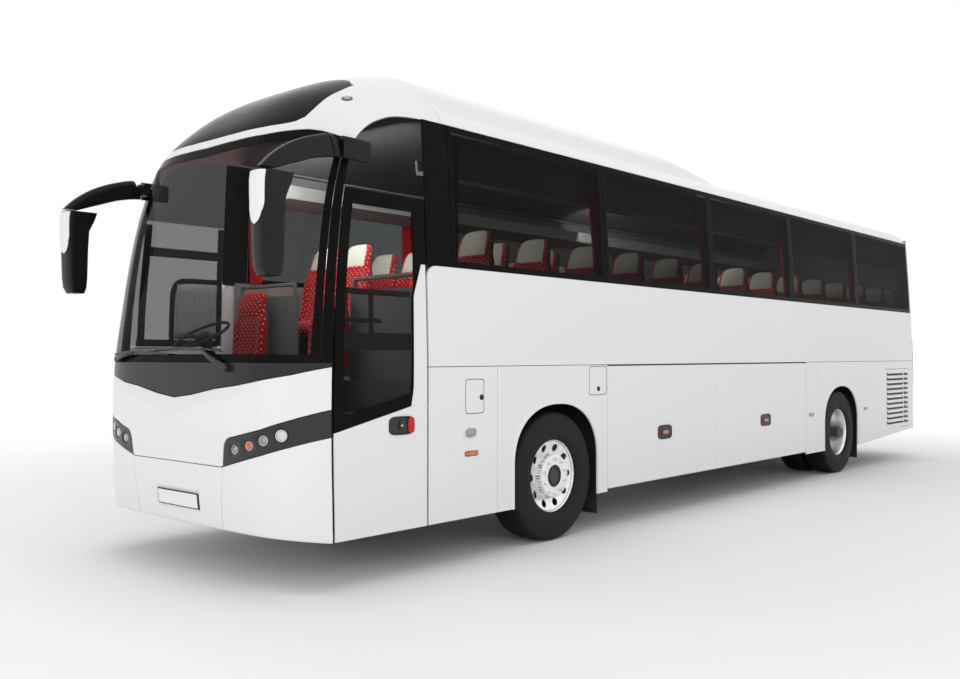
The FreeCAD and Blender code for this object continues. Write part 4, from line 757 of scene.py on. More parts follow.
def roof_z(x, y):
    """Height of the roof: the higher of the crowned skin and the fairing that fades to the rear."""
    share = np.abs(x) / HEAD_X
    skin = HEAD_Z + (ROOF_Z - HEAD_Z) * (1 - share ** ROOF_POWER)
    dome = HEAD_Z + (POD_TOP_Z - HEAD_Z) * (1 - share ** POD_POWER)
    fade = drawn(POD_FALL, y)
    cap_blend = np.clip((CAP_Y + CAP_BLEND - y) / CAP_BLEND, 0.0, 1.0)
    drop = np.clip((np.abs(x) - (POD_HALF_W - POD_SIDE)) / POD_SIDE, 0.0, 1.0)
    drop = drop * drop * (3 - 2 * drop) * (1 - cap_blend ** 2)
    return skin + np.maximum(dome - skin, 0.0) * fade * (1 - drop)


def roof_grid(y):
    """Grid over the roof, with columns from right to left closer together at the corners."""
    half = HEAD_X * np.sin(np.linspace(0.0, math.pi / 2, 40))
    half = np.unique(np.concatenate([half, np.linspace(POD_HALF_W - POD_SIDE, POD_HALF_W, 7)]))
    wide, long = np.meshgrid(np.concatenate([-half[::-1], half[1:]]), y)
    return np.stack([wide, long, roof_z(wide, long)], -1)


roof_y = np.concatenate([np.linspace(CAP_Y + 2 * GAP, CAP_Y + CAP_BLEND, 10),
                         np.linspace(CAP_Y + CAP_BLEND, -0.7, 30)[1:],
                         np.linspace(-0.7, 0.30, 28)[1:], np.linspace(0.30, REAR_SIDE_Y, 30)[1:]])
piece("roof_skin", [roof_grid(roof_y)], white_paint, "white_paint", ("roof_panel", "roof_pod"),
      PANEL_T, 0.002)

# Rear end. A moulded panel with rounded corners closes the body, with the rear window glued into
# it, upright lamp clusters at both sides and a separate bumper below.
REAR_Y = 5.982
tail = Shell([(low_z, REAR_Y - inset, side_z, REAR_SIDE_Y, power)
              for low_z, inset, side_z, power in (
                  (0.405, 0.030, 0.405, 7.0), (0.900, 0.0, 0.900, 7.0), (2.120, 0.005, 2.120, 6.5),
                  (2.700, 0.025, 2.700, 6.0), (3.000, 0.060, 2.960, 5.0),
                  (3.220, 0.130, 3.090, 4.5), (3.340, 0.220, 3.135, 4.5),
                  (ROOF_Z, REAR_Y - REAR_SIDE_Y, HEAD_Z, 6.5))], -1)
BUMPER_TOP_Z = 0.615
ENGINE_HALF = 0.850
ENGINE_LOW_Z = 0.620
ENGINE_HIGH_Z = 1.500
WINDOW_HALF = 0.900
WINDOW_LOW_Z = 2.050
WINDOW_HIGH_Z = 2.850
LAMP_IN = 1.130
LAMP_LOW_Z = 1.060
LAMP_HIGH_Z = 1.700


def rear_rows(low, high, count):
    """Runs of the rear's rows between two heights below the roof's turn."""
    return tail.middle_run(ladder(low, high, count))


def rear_patch(half, low, high, columns, count, out=0.0):
    """Grid over the middle of the rear, as wide to each side as this share of the coach."""
    return tail.sheet(np.linspace(-half, half, columns), rear_rows(low, high, count), out)


engine_edge, window_edge = ENGINE_HALF / HALF_W, WINDOW_HALF / HALF_W
lamp_edge = LAMP_IN / HALF_W
wing = np.concatenate([spread(engine_edge, window_edge, 3)[:-1], spread(window_edge, lamp_edge, 8),
                       spread(lamp_edge + 0.002, 1.0, 14)])
whole = np.concatenate([-wing[::-1], np.linspace(-engine_edge, engine_edge, 25)[1:-1], wing])
top_run = ladder(tail.middle_run(WINDOW_HIGH_Z + GAP), tail.run[-1], 24)
rear_grids = [tail.sheet(whole, top_run),
              tail.sheet(whole, rear_rows(ENGINE_HIGH_Z + GAP, WINDOW_LOW_Z - GAP, 10)),
              tail.sheet(whole, rear_rows(BUMPER_TOP_Z + GAP, ENGINE_LOW_Z - GAP, 2))]
for span, run in ((wing, rear_rows(ENGINE_LOW_Z - GAP, ENGINE_HIGH_Z + GAP, 14)),
                  (wing[wing >= window_edge - 1e-6],
                   rear_rows(WINDOW_LOW_Z - GAP, WINDOW_HIGH_Z + GAP, 12))):
    rear_grids += [tail.sheet(span, run), tail.sheet(-span[::-1], run)]
piece("rear_panel", rear_grids, white_paint, "white_paint", ("rear_wall",), PANEL_T, PANEL_EDGE)
bumper_run = ladder(0.0, tail.middle_run(BUMPER_TOP_Z - GAP), 8)
piece("rear_bumper_skin", [tail.sheet(whole, bumper_run)], white_paint, "white_paint",
      ("rear_bumper",), PANEL_T, 0.004)
REAR_GAP = 0.003
piece("rear_window_pane", [rear_patch(window_edge - REAR_GAP, WINDOW_LOW_Z + REAR_GAP,
                                      WINDOW_HIGH_Z - REAR_GAP, 21, 12)],
      black_gloss, "tinted_glass", ("rear_window",), 0.008, PANE_EDGE)
piece("engine_door_skin", [rear_patch(engine_edge - REAR_GAP, ENGINE_LOW_Z + REAR_GAP,
                                      ENGINE_HIGH_Z - REAR_GAP, 25, 20)],
      white_paint, "white_paint", ("engine_door",), PANEL_T, 0.003, body="engine_door")

# Side glazing. Five tinted panes on each side are glued flush over the pillars edge to edge, each
# with a printed black border; a black pillar cover fills the space ahead of the first one.
FIRST_GLASS_Y = -4.249
PANE_SEAMS = [-2.305, -0.395, 1.535, 3.565]
LAST_GLASS_Y = 5.660
PANE_T = 0.008
BORDER = 0.045
PILLAR_BORDER = 0.050
HEAD_GAP = 0.004
side_tint = glass("side_tint", tone(160, 162, 161))


def bordered(y, z):
    """A pane as nine grids between four lines each way, its border printed black."""
    y_lines, z_lines = [[np.linspace(*ends, count) for *ends, count in zip(at, at[1:], counts)]
                        for at, counts in ((y, (2, 16, 2)), (z, (2, 10, 2)))]
    return [(side_grid(across, up[:, None]), int((i, j) != (1, 1)))
            for i, across in enumerate(y_lines) for j, up in enumerate(z_lines)]


pane_edges = [FIRST_GLASS_Y] + PANE_SEAMS + [LAST_GLASS_Y]
for number, (front, rear) in enumerate(zip(pane_edges, pane_edges[1:])):
    pane = bordered([front + GAP, front + PILLAR_BORDER, rear - PILLAR_BORDER, rear - GAP],
                    [SILL_Z + GAP, SILL_Z + BORDER, HEAD_Z - BORDER, HEAD_Z - HEAD_GAP])
    pair(f"pane_{{}}_{number + 1}", pane, [side_tint, black_gloss], "tinted_glass",
         ("side_glass",), PANE_T, PANE_EDGE)
pair("pillar_cover_{}", [side_panel(DOOR_REAR_Y + GAP, FIRST_GLASS_Y - GAP, SILL_Z + GAP,
                                    HEAD_Z - HEAD_GAP)],
     black_gloss, "black_gloss", (), PANE_T, PANE_EDGE)
pair("rear_corner_{}", [side_panel(LAST_GLASS_Y + GAP, REAR_SIDE_Y, SILL_Z + GAP,
                                   HEAD_Z - HEAD_GAP, 3)],
     white_paint, "white_paint", (), PANE_T, PANE_EDGE)

# Seals. Black rubber strips close the joints of the side from behind.
SEAL_IN = 0.0175
SEAL_SPANS = [(DOOR_REAR_Y - 0.005, REAR_SIDE_Y, 30, SILL_Z, 0.020),
              (DOOR_REAR_Y, PANEL_SEAMS[1] - 0.01, 6, BELT_Z, 0.015),
              (PANEL_SEAMS[3] + 0.01, REAR_SIDE_Y, 8, BELT_Z, 0.015)]
seals = [side_grid(np.linspace(front, rear, count), ladder(z - half, z + half, 2), SEAL_IN)
         for front, rear, count, z, half in SEAL_SPANS]
piece("side_seals", seals + mirrored(seals), joint_rubber, "rubber", (), SEAL_T)


def seam_line(run):
    """Points of the front surface's left edge."""
    return nose.point(np.ones(len(run)), run)


def seam_y(z):
    """Place along the coach of the front surface's side edge at a height."""
    edge = seam_line(np.linspace(0.0, FRONT_RUN[-1], 600))
    return np.interp(z, edge[:, 2], edge[:, 1])


# Quarter panes. Above the door, and above the driver's window, a fixed dark pane fills the corner
# under the sweep of the dome.
QUARTER_LOW_Z = 2.585
quarter_y = np.linspace(seam_y(QUARTER_LOW_Z) + 0.006, DOOR_REAR_Y - GAP, 24)
sweep = seam_line(np.linspace(FRONT_RUN[7], FRONT_RUN[-1], 400))
sweep_z = np.interp(quarter_y, sweep[:, 1], sweep[:, 2]) - 0.005
sweep_z = np.maximum(sweep_z, QUARTER_LOW_Z + 0.012)
quarter = side_grid(quarter_y, between(QUARTER_LOW_Z, sweep_z, 12))
piece("quarter_pane_left", [quarter], side_tint, "tinted_glass", ("side_glass",), PANE_T, PANE_EDGE)
piece("quarter_pane_right", [other_side(quarter)], side_tint, "tinted_glass", (), PANE_T, PANE_EDGE)


# Driver's side. In place of the door the right wall has a plain lower panel and the driver's
# window above the waist line.
def driver_sheet(low, high, count):
    """Part of the right wall between two heights, from the front end's seam to the pillar."""
    z = ladder(low, high, count)
    front = seam_y(z) + 0.004
    return other_side(side_grid(front + (DOOR_REAR_Y - GAP - front) * np.linspace(0.0, 1.0, 10), z))


DRIVER_SILL_Z = 1.560
piece("driver_panel", [driver_sheet(SKIRT_Z, DRIVER_SILL_Z - GAP, 12)], white_paint, "white_paint",
      (), PANEL_T, PANEL_EDGE)
piece("driver_pane", [driver_sheet(DRIVER_SILL_Z + GAP, QUARTER_LOW_Z, 14)], screen_glass,
      "tinted_glass", ("side_glass",), PANE_T, PANE_EDGE)

# Luggage flaps and service doors. Flat double skinned lids close the holds between the axles and
# the bays behind the rear wheels; flaps hinge at the top edge, and a lock holds each shut.
LID_T = 0.025
LID_EDGE = 0.003
FLAP_Z = (0.345, 1.398)
lids = {"flap_{}_front": (PANEL_SEAMS[1] + 0.004, PANEL_SEAMS[2] - 0.002, *FLAP_Z),
        "flap_{}_rear": (PANEL_SEAMS[2] + 0.002, PANEL_SEAMS[3] - 0.004, *FLAP_Z),
        "service_door_{}": (SERVICE_FRONT_Y + GAP, SERVICE_REAR_Y - GAP, SERVICE_LOW_Z + GAP,
                            SERVICE_HIGH_Z - GAP)}
for node, edges in lids.items():
    pair(node + "_skin", [side_panel(*edges)], white_paint, "white_paint", (node,), LID_T,
         LID_EDGE, body=node)

# Tyres. Steel belted coach tyres with four grooves round the tread; the sidewalls bulge slightly
# over the rim and carry a plain moulded rib where the tyre's markings would be.
AXLE_Z = 0.518
TYRE_R = 0.518
BEAD_R = 0.290
WHEEL_OUT_X = 1.250
TYRE_W = 0.295
TWIN_PITCH = 0.335
TREAD_HALF = 0.122
GROOVES = (-0.084, -0.029, 0.029, 0.084)
GROOVE_HALF = 0.0055
GROOVE_DEPTH = 0.013


def turned(profile, axle_y, steps=96, flute=0.0, count=0):
    """Surface turned about an axle from its profile of distances out along the axle and radii.

    A profile that runs outwards along the tread and inwards down a face points outwards. The
    flute lifts the radius by a wave of that many ridges a turn.
    """
    x, radius = np.array(profile, float).T
    angle = -np.linspace(0.0, 2 * math.pi, steps + 1)[:, None]
    radius = radius + flute * np.maximum(np.cos(count * angle), 0.0)
    return np.stack([x + 0 * angle, axle_y + radius * np.cos(angle),
                     AXLE_Z + radius * np.sin(angle)], -1)


def eased(points, count):
    """Smooth line through the points at even steps from each to the next."""
    points = np.array(points, float)
    places = np.arange(len(points), dtype=float)
    wanted = np.linspace(0.0, places[-1], count)
    return np.stack([smooth_through(places, column, wanted) for column in points.T], -1)


def tyre_profile(mid_x):
    """Section of a tyre about its middle plane: inner wall, grooved tread, outer wall, bead."""
    wall = eased([(TREAD_HALF, TYRE_R - 0.007), (0.1335, TYRE_R - 0.020), (0.1400, 0.470),
                  (0.1440, 0.420), (0.1470, 0.370), (0.1440, 0.325), (0.1350, BEAD_R + 0.012),
                  (0.1230, BEAD_R)], 36)
    tread = [[-TREAD_HALF + 0.002, TYRE_R - 0.006]]
    for groove in GROOVES:
        tread += [[groove + share * GROOVE_HALF, TYRE_R - depth] for share, depth in
                  ((-1.0, 0.0), (-0.6, GROOVE_DEPTH), (0.6, GROOVE_DEPTH), (1.0, 0.0))]
    profile = np.concatenate([wall[::-1] * (-1, 1), tread, wall, wall[-1:] * (-1, 1)])
    return profile + (mid_x, 0.0)


def tyre_rubber(end, axle_y):
    """Tyre compound: dusty walls, darker tread, and a ring of fine moulded ribs up the wall."""
    nodes = new_material("tyre_rubber_" + end)
    along, up = nodes.place("Y") - axle_y, nodes.place("Z") - AXLE_Z
    radius = (along * along + up * up) ** 0.5
    angle = up.math("ARCTAN2", up, along)
    dust = nodes.noise(5.0, 5.0).step(0.40, 0.72)
    wall = radius.step(0.500, 0.470)
    ribs = radius.step(0.432, 0.436) * radius.step(0.466, 0.462) * ((angle * 38.2) % 1.0 > 0.45)
    ribs = ribs * (angle.step(0.6, 0.9) * angle.step(2.5, 2.2))
    ring = radius.step(0.400, 0.402) * radius.step(0.408, 0.406)
    return nodes.coat(
        Base_Color=nodes.tint(dust * (wall * 0.7 + 0.3), tone(14, 14, 15), tone(30, 29, 28)),
        Roughness=dust * 0.15 + 0.66, Specular_IOR_Level=0.3,
        Normal=nodes.bump(nodes.noise(180.0, 2.0) * 0.2 + ribs + ring, 0.0016, 0.8))


outer_mid = WHEEL_OUT_X - TYRE_W / 2
axles = {"front": (FRONT_AXLE_Y, "", [outer_mid]),
         "rear": (REAR_AXLE_Y, "s", [outer_mid, outer_mid - TWIN_PITCH])}
for end, (axle_y, plural, middles) in axles.items():
    node = f"tyre{plural}_{end}_{{}}"
    pair(node + "_tread", [turned(tyre_profile(middle), axle_y, 120) for middle in middles],
         tyre_rubber(end, axle_y), "tyre_rubber", (node,), body=f"wheel{plural}_{end}_{{}}")

# Wheels. Forged aluminium, polished: the front ones bulge out past the rim with ten round hand
# holes, and the rear twins share deep set discs; ten nuts hold each one round a dark hub.
NUTS = 10
HOLE_R = 0.030
FLANGE_X = 1.247
BORE_R = 0.088
NUT_RING = 0.139
FLUTE = 0.0035


def metal(name, tint, rough, scratch=0.0004):
    """Polished metal with a turned grain: a fine haze and faint stains change its sheen."""
    nodes = new_material(name)
    stain = nodes.noise(14.0, 5.0)
    grain = nodes.noise(60.0, 3.0, (0.4, 1.0, 1.0))
    return nodes.coat(
        Base_Color=nodes.tint(stain.step(0.35, 0.8), tint, darker(tint, 0.82)), Metallic=1.0,
        Roughness=stain * 0.14 + grain * 0.06 + (rough - 0.08),
        Normal=nodes.bump(grain, scratch, 0.5))


def holed_cone(outer, inner, count, hole):
    """Cone between two (out, radius) rings with round holes, as one grid for each sector.

    Spokes run from a hole's edge to its sector's outline, a square in angle and radius.
    """
    turn = np.linspace(0.0, 2 * math.pi, 41)
    circle = np.stack([np.cos(turn), np.sin(turn)])
    square = circle / np.abs(circle).max(0)
    middle, half = (outer[1] + inner[1]) / 2, (outer[1] - inner[1]) / 2
    hole_edge = circle * hole / [[middle * math.pi / count], [half]]
    across, up = [between(near, far, 6) for near, far in zip(hole_edge, square)]
    radius = middle + half * up
    out = inner[0] + (outer[0] - inner[0]) * (up + 1) / 2
    angles = [(across + 2 * number) * math.pi / count for number in range(count)]
    return [(out, radius * np.cos(angle), radius * np.sin(angle)) for angle in angles]


def nut(x, along, up, size, rise):
    """Wheel nut on a face at x: washer, six flats and a domed end, turned about its own axis."""
    profile = [(-0.004, 1.36), (0.16, 1.36), (0.22, 1.28), (0.24, 1.0), (0.72, 1.0), (0.86, 0.90),
               (0.95, 0.62), (1.0, 0.0)]
    turn = -np.linspace(0.0, 2 * math.pi, 37)[:, None]
    flat = math.cos(math.pi / 6) / np.cos((turn % (math.pi / 3)) - math.pi / 6)
    out, radius = np.array(profile).T
    radius = size * np.where(abs(radius - 1) < 0.05, flat / flat.max() * 1.08, 1) * radius
    return np.stack([x + out * rise + 0 * turn, along + radius * np.cos(turn),
                     up + radius * np.sin(turn)], -1)


def hub_cap(x, radius, axle_y, lobes=5):
    """Oil cap of the hub: a shallow dome with five raised lobes, closed at its middle."""
    share = np.concatenate([np.linspace(1.0, 0.06, 22), [0.0]])
    angle = -np.linspace(0.0, 2 * math.pi, 97)[:, None]
    lobe = np.clip((np.cos(lobes * angle) + 0.35) * 3, 0, 1)
    band = np.clip((share - 0.36) * 9, 0, 1) * np.clip((0.88 - share) * 9, 0, 1)
    out = x - 0.010 * share ** 2 + 0.014 * lobe * band - 0.006 * np.clip(0.34 - share, 0, 0.1) * 10
    return np.stack([out, axle_y + radius * share * np.cos(angle),
                     AXLE_Z + radius * share * np.sin(angle)], -1)


polished = metal("polished_aluminium", tone(244, 244, 245), 0.26)
hub_iron = painted_steel("hub_iron", tone(74, 75, 77), 0.42)
# The deep set rear discs take a darker, duller metal than the polished rims: painted shade in the
# hollow of the rim.
disc_shade_metal = metal("deep_disc", tone(120, 120, 122), 0.34)
nut_turns = (2 * np.arange(NUTS) + 1) * math.pi / NUTS
barrel = [(0.985, 0.2885), (1.190, 0.2885), (1.206, 0.300), (1.216, 0.3005), (1.222, 0.296),
          (1.222, 0.289), (1.216, 0.283)]
for end, (axle_y, plural, _) in axles.items():
    if end == "front":
        loop = barrel + [(1.210, 0.2785), (1.196, 0.2765), (1.000, 0.268), (0.985, 0.270),
                         (0.985, 0.2885)]
        grids = [turned(loop, axle_y)]
        cone = holed_cone((1.204, 0.2775), (1.176, 0.186), NUTS, HOLE_R)
        back = holed_cone((1.192, 0.2775), (1.164, 0.186), NUTS, HOLE_R)
        for (high, along, up), (low, _, _) in zip(cone, back):
            outside, inside = [np.stack([x, axle_y + along, AXLE_Z + up], -1)[:, ::-1]
                               for x in (high, low)]
            grids += [outside, inside[:, ::-1], np.stack([inside[0], outside[0]])]
        drum = eased([(1.176, 0.186), (1.180, 0.181), (1.190, 0.179), (1.236, 0.174)], 10)
        face = eased([(1.236, 0.174), (1.244, 0.171), (FLANGE_X, 0.165), (FLANGE_X, 0.130),
                      (FLANGE_X, BORE_R + 0.004), (FLANGE_X - 0.004, BORE_R)], 22)
        grids += [turned(drum[:3], axle_y, 240), turned(drum[2:], axle_y, 240, FLUTE, 60)]
        grids += [turned(profile, axle_y, 240) for profile in (
            np.concatenate([drum[-1:] + (0.0, FLUTE), face[1:]]),
            [(FLANGE_X - 0.004, BORE_R), (1.150, BORE_R)],
            [(1.150, BORE_R), (1.150, 0.182), (1.176, 0.182)])]
        nut_x, nut_size, rise, cap_x, cap_r = FLANGE_X, 0.0145, 0.024, 1.212, BORE_R
    else:
        loop = barrel + [(1.206, 0.277), (1.190, 0.273), (1.150, 0.266), (1.085, 0.262),
                         (1.010, 0.255), (0.972, 0.236), (0.952, 0.205), (0.948, 0.188),
                         (0.936, 0.188), (0.940, 0.240), (0.985, 0.2885)]
        twin = [(2 * outer_mid - TWIN_PITCH - x, radius) for x, radius in barrel]
        twin += [(twin[-1][0] + 0.02, 0.272), (0.930, 0.272), (0.930, 0.2885)]
        # The rear disc is in the darker metal, painted shade for its deep setting inside the rim.
        disc = [(0.950, 0.190), (0.952, 0.172), (0.952, 0.112)]
        hub = eased([(0.952, 0.112), (1.060, 0.108), (1.092, 0.104), (1.104, 0.092)], 16)
        grids = [turned(loop, axle_y), turned(twin[::-1], axle_y)[::-1],
                 (turned(disc, axle_y), 2), (turned(hub, axle_y), 1)]
        nut_x, nut_size, rise, cap_x, cap_r = 0.952, 0.0155, 0.030, 1.104, 0.0925
    grids += [nut(nut_x, axle_y + NUT_RING * math.cos(turn), AXLE_Z + NUT_RING * math.sin(turn),
                  nut_size, rise) for turn in nut_turns]
    grids.append((hub_cap(cap_x, cap_r, axle_y), 1))
    node = f"rim{plural}_{end}_{{}}"
    pair(node + "_disc", grids, [polished, hub_iron, disc_shade_metal], "wheel_alloy", (node,),
         body=f"wheel{plural}_{end}_{{}}", sharp=32.0)

# Front bumper. A middle panel with the number plate's bevelled pocket and two corner panels close
# the front below the lamps; they are moulded, and butt against each other with a thin joint.
SEAM_TOP_X = 0.566
SEAM_LOW_X = 0.521
PLATE_HALF_W = 0.262
PLATE_HALF_H = 0.058
PLATE_Z = 0.508
POCKET_RIM = 0.022
POCKET_DEPTH = 0.014
BOTTOM_TUCK = 0.030


def pocket_out(x, z):
    """Depth of the plate's pocket: nothing outside it, a straight bevel, then its flat floor."""
    inside = np.minimum((PLATE_HALF_W + POCKET_RIM - np.abs(x)) / POCKET_RIM,
                        (PLATE_HALF_H + POCKET_RIM - np.abs(z - PLATE_Z)) / POCKET_RIM)
    return -POCKET_DEPTH * np.clip(inside, 0.0, 1.0)


def tuck(height, base):
    """The lowest edge rolls under in a quarter round of the bumper's own radius."""
    left = np.clip((BOTTOM_TUCK - (height - base)) / BOTTOM_TUCK, 0.0, 1.0)
    return -BOTTOM_TUCK * (1 - np.sqrt(1 - left ** 2)) * 0.55


pocket_low, pocket_high = PLATE_Z - PLATE_HALF_H, PLATE_Z + PLATE_HALF_H
plate_levels = np.concatenate([
    np.linspace(0.345, 0.380, 7), np.linspace(0.380, pocket_low - POCKET_RIM, 4)[1:],
    np.linspace(pocket_low, pocket_high, 6),
    np.linspace(pocket_high + POCKET_RIM, PLATE_TOP_Z - GAP, 8)])
pocket_x = np.concatenate([np.linspace(0.0, PLATE_HALF_W, 10), [PLATE_HALF_W + POCKET_RIM]])
seam_x = np.interp(plate_levels, [0.345, PLATE_TOP_Z], [SEAM_LOW_X, SEAM_TOP_X]) - GAP / 2
outward = np.linspace(0.0, 1.0, 9)[1:]
right_x = np.concatenate([pocket_x + 0 * seam_x[:, None],
                          pocket_x[-1] + (seam_x[:, None] - pocket_x[-1]) * outward], 1)
plate_x = np.concatenate([-right_x[:, :0:-1], right_x], 1)
plate_out = pocket_out(plate_x, plate_levels[:, None]) + tuck(plate_levels, 0.345)[:, None]
piece("plate_panel",
      [nose.sheet(plate_x / HALF_W, nose.middle_run(plate_levels)[:, None], plate_out)],
      white_paint, "white_paint", ("front_bumper",), PANEL_T, PANEL_EDGE, sharp=20.0)
corner_across = spread(SEAM_TOP_X / HALF_W, NOSE_EDGE_ACROSS, 30)
corner_top = np.maximum(line(LAMP_LOW, corner_across * HALF_W), PLATE_TOP_Z) - GAP
corner_run = run_at(corner_across, corner_top) * ladder(0.0, 1.0, 30) ** 1.3
corner_z = nose.point(corner_across, corner_run)[..., 2]
seam_at = np.interp(corner_z, [0.311, PLATE_TOP_Z], [SEAM_LOW_X, SEAM_TOP_X]) + GAP / 2
share = (corner_across - corner_across[0]) / (corner_across[-1] - corner_across[0])
corner_across = seam_at / HALF_W + share * (NOSE_EDGE_ACROSS - seam_at / HALF_W)
corner_base = nose.point(corner_across[0], np.zeros(30))[..., 2]
pair("bumper_corner_{}", [nose.sheet(corner_across, corner_run, tuck(corner_z, corner_base))],
     white_paint, "white_paint", ("front_bumper",), PANEL_T, PANEL_EDGE)

# Number plate. A blank white plate sits in a thin dark holder in the pocket of the bumper.
plate_paint = body_paint("plate_white", tone(240, 240, 238), 0.4)
trim_black = rubber("trim_black", 24, 0.45)


def plate_sheet(half_w, half_h, out):
    """Flat blank that follows the bumper's curve at a constant distance."""
    run = nose.middle_run(ladder(PLATE_Z - half_h, PLATE_Z + half_h, 3))
    return nose.sheet(np.linspace(-half_w, half_w, 12) / HALF_W, run, out)


piece("plate_holder", [plate_sheet(PLATE_HALF_W - 0.004, PLATE_HALF_H - 0.003, -0.007)],
      trim_black, "dark_trim", (), 0.006, 0.001)
piece("number_plate", [plate_sheet(PLATE_HALF_W - 0.016, PLATE_HALF_H - 0.011, -0.003)],
      plate_paint, "white_paint", (), 0.003, 0.001)

# Lamp bands. Gloss black mouldings run from beside the nose back to the door; each holds four
# round lamps with chromed reflectors sunk into it behind clear or orange lenses.
LAMPS = [(0.693, 0.887, 0.030, "clear"), (0.831, 0.918, 0.031, "orange"),
         (0.946, 0.956, 0.034, "clear"), (1.061, 0.990, 0.040, "beam")]
band_black = gloss_black("band_black", 30, 0.22)


def band_sheet():
    """Band between its lower line and its upper line, whose inner corner is rounded."""
    across = np.unique(np.concatenate([
        np.array([point[0] for point in LAMP_TOP[:-1]]) / HALF_W + GAP / HALF_W,
        spread(0.71 / HALF_W, NOSE_EDGE_ACROSS, 44)]).round(6))
    x = across * HALF_W
    low = run_at(across, line(LAMP_LOW, x) + GAP)
    high = run_at(across, line(LAMP_TOP, x - GAP) - GAP)
    return across, between(low, np.maximum(high, low + 0.001), 22)


band_across, band_run = band_sheet()
band_point = nose.point(band_across, band_run)
sink = np.zeros(band_run.shape)
for lamp_x, lamp_z, size, _ in LAMPS:
    apart = np.hypot((band_point[..., 0] - lamp_x) * 1.15, band_point[..., 2] - lamp_z)
    sink = np.minimum(sink, -0.022 * np.clip((size * 1.45 - apart) / (size * 0.55), 0.0, 1.0))
pair("lamp_band_{}", [nose.sheet(band_across, band_run, sink)], band_black, "dark_trim",
     ("headlamps",), 0.006, 0.001, sharp=60.0)


def lens(name, tint, rough, glow=0.0):
    """Moulded lamp lens over a bright reflector: clear plastic with fine upright flutes."""
    nodes = new_material(name)
    flute = nodes.add("TexWave", {"bands_direction": "Y"},
                      {"Vector": nodes.place(), "Scale": 60.0, "Distortion": 0.4})
    cloud = nodes.noise(30.0, 3.0)
    return nodes.coat(
        Base_Color=nodes.tint(cloud.step(0.3, 0.8), tint, darker(tint, 0.7)),
        Metallic=0.55, Roughness=cloud * 0.1 + rough, Coat_Weight=1.0, Coat_Roughness=0.03,
        Emission_Strength=glow, Emission_Color=tint, Normal=nodes.bump(flute, 0.0015, 0.5))


lamp_finish = {"clear": lens("lens_clear", tone(158, 161, 164), 0.10),
               "orange": lens("lens_orange", tone(226, 84, 24), 0.2, 0.15),
               "beam": lens("lens_beam", tone(230, 233, 235), 0.07)}
chrome = metal("chrome", tone(236, 237, 238), 0.09, 0.0001)


def front_frame(x, z):
    """Point on the front surface at a width and height, with its outward, side and up axes."""
    across = np.array([x / HALF_W])
    run = run_at(across, z)
    normal = nose.normal(across, run)[0]
    sideways = np.cross([0.0, 0.0, 1.0], normal)
    sideways = sideways / np.linalg.norm(sideways)
    return nose.point(across, run)[0], normal, sideways, np.cross(normal, sideways)


def round_form(frame_axes, profile, steps=40):
    """Turned form standing on a surface: profile gives radius and height along the normal.

    It closes where the radius comes to nothing, and faces outwards as the radius falls.
    """
    point, normal, sideways, upward = frame_axes
    radius, height = np.array(profile, float).T
    turn = -np.linspace(0.0, 2 * math.pi, steps + 1)[:, None, None]
    radius, height = radius[None, :, None], height[None, :, None]
    return (point + normal * height + sideways * radius * np.cos(turn)
            + upward * radius * np.sin(turn))


for number, (x, z, size, kind) in enumerate(LAMPS):
    bezel = [(size, -0.021), (size, -0.006), (size - 0.002, -0.004), (size - 0.005, -0.005),
             (size - 0.008, -0.014)]
    dome = eased([(size - 0.008, -0.014), (size * 0.6, -0.008), (size * 0.3, -0.005),
                  (0.0, -0.004)], 13)
    axes = front_frame(x, z)
    pair(f"lamp_{{}}_{number + 1}", [round_form(axes, bezel), (round_form(axes, dome), 1)],
         [chrome, lamp_finish[kind]], "lamp_lens", ("headlamps",), sharp=50.0)

# Passenger door. A flat framed leaf with a deep glazed opening; its outer face is gloss black,
# with a white lower panel that runs up the rear edge, and two dark rails cross behind the glass.
DOOR_LOW_Z = 0.318
DOOR_HIGH_Z = 2.572
DOOR_T = 0.012
LEAF_REAR_Y = DOOR_REAR_Y - GAP - 0.013
GLASS_EDGE = 0.075
STRIP_TOP_Z = 2.117
RISE = [(-5.36, 0.997), (-4.654, 1.150)]
STRIP = [(1.150, 0.150), (1.260, 0.128), (1.895, 0.118), (STRIP_TOP_Z, 0.040)]


def door_front(z):
    """Front edge of the leaf at a height, just behind the corner of the front end."""
    return seam_y(z) + 0.018


def door_band(low, high, left, right, rows, columns):
    """Panel of the leaf: rows between two lines of z and columns between two lines of y.

    The lines are functions, of y for the heights and of z for the edges.
    """
    part = ladder(0.0, 1.0, rows)
    along = np.linspace(0.0, 1.0, columns)
    y = -5.0 + 0 * part * along
    for _ in range(6):
        z = low(y) + (high(y) - low(y)) * part
        y = left(z) + (right(z) - left(z)) * along
    return side_grid(y, z)


def level(value):
    return lambda at: value + 0 * at


def rise_line(y):
    """Upper edge of the white lower panel: it climbs from the lamp band to the rear strip."""
    return drawn(RISE, y)


def white_top(y):
    return rise_line(y) - 0.001


def black_foot(y):
    return rise_line(y) + 0.001


def glass_low(y):
    return rise_line(y) + 0.085


def strip_edge(z):
    """Front edge of the white strip: it swings in from the rise and narrows upwards."""
    return LEAF_REAR_Y - drawn(STRIP, z)


def frame_rear(z):
    """Rear edge of the black surround: the strip's edge, and the leaf's own above the strip."""
    return np.where(z > STRIP_TOP_Z, LEAF_REAR_Y, strip_edge(z) - 0.001)


def glass_front(z):
    return door_front(z) + GLASS_EDGE


def glass_rear(z):
    return strip_edge(np.minimum(z, 1.95)) - 0.012


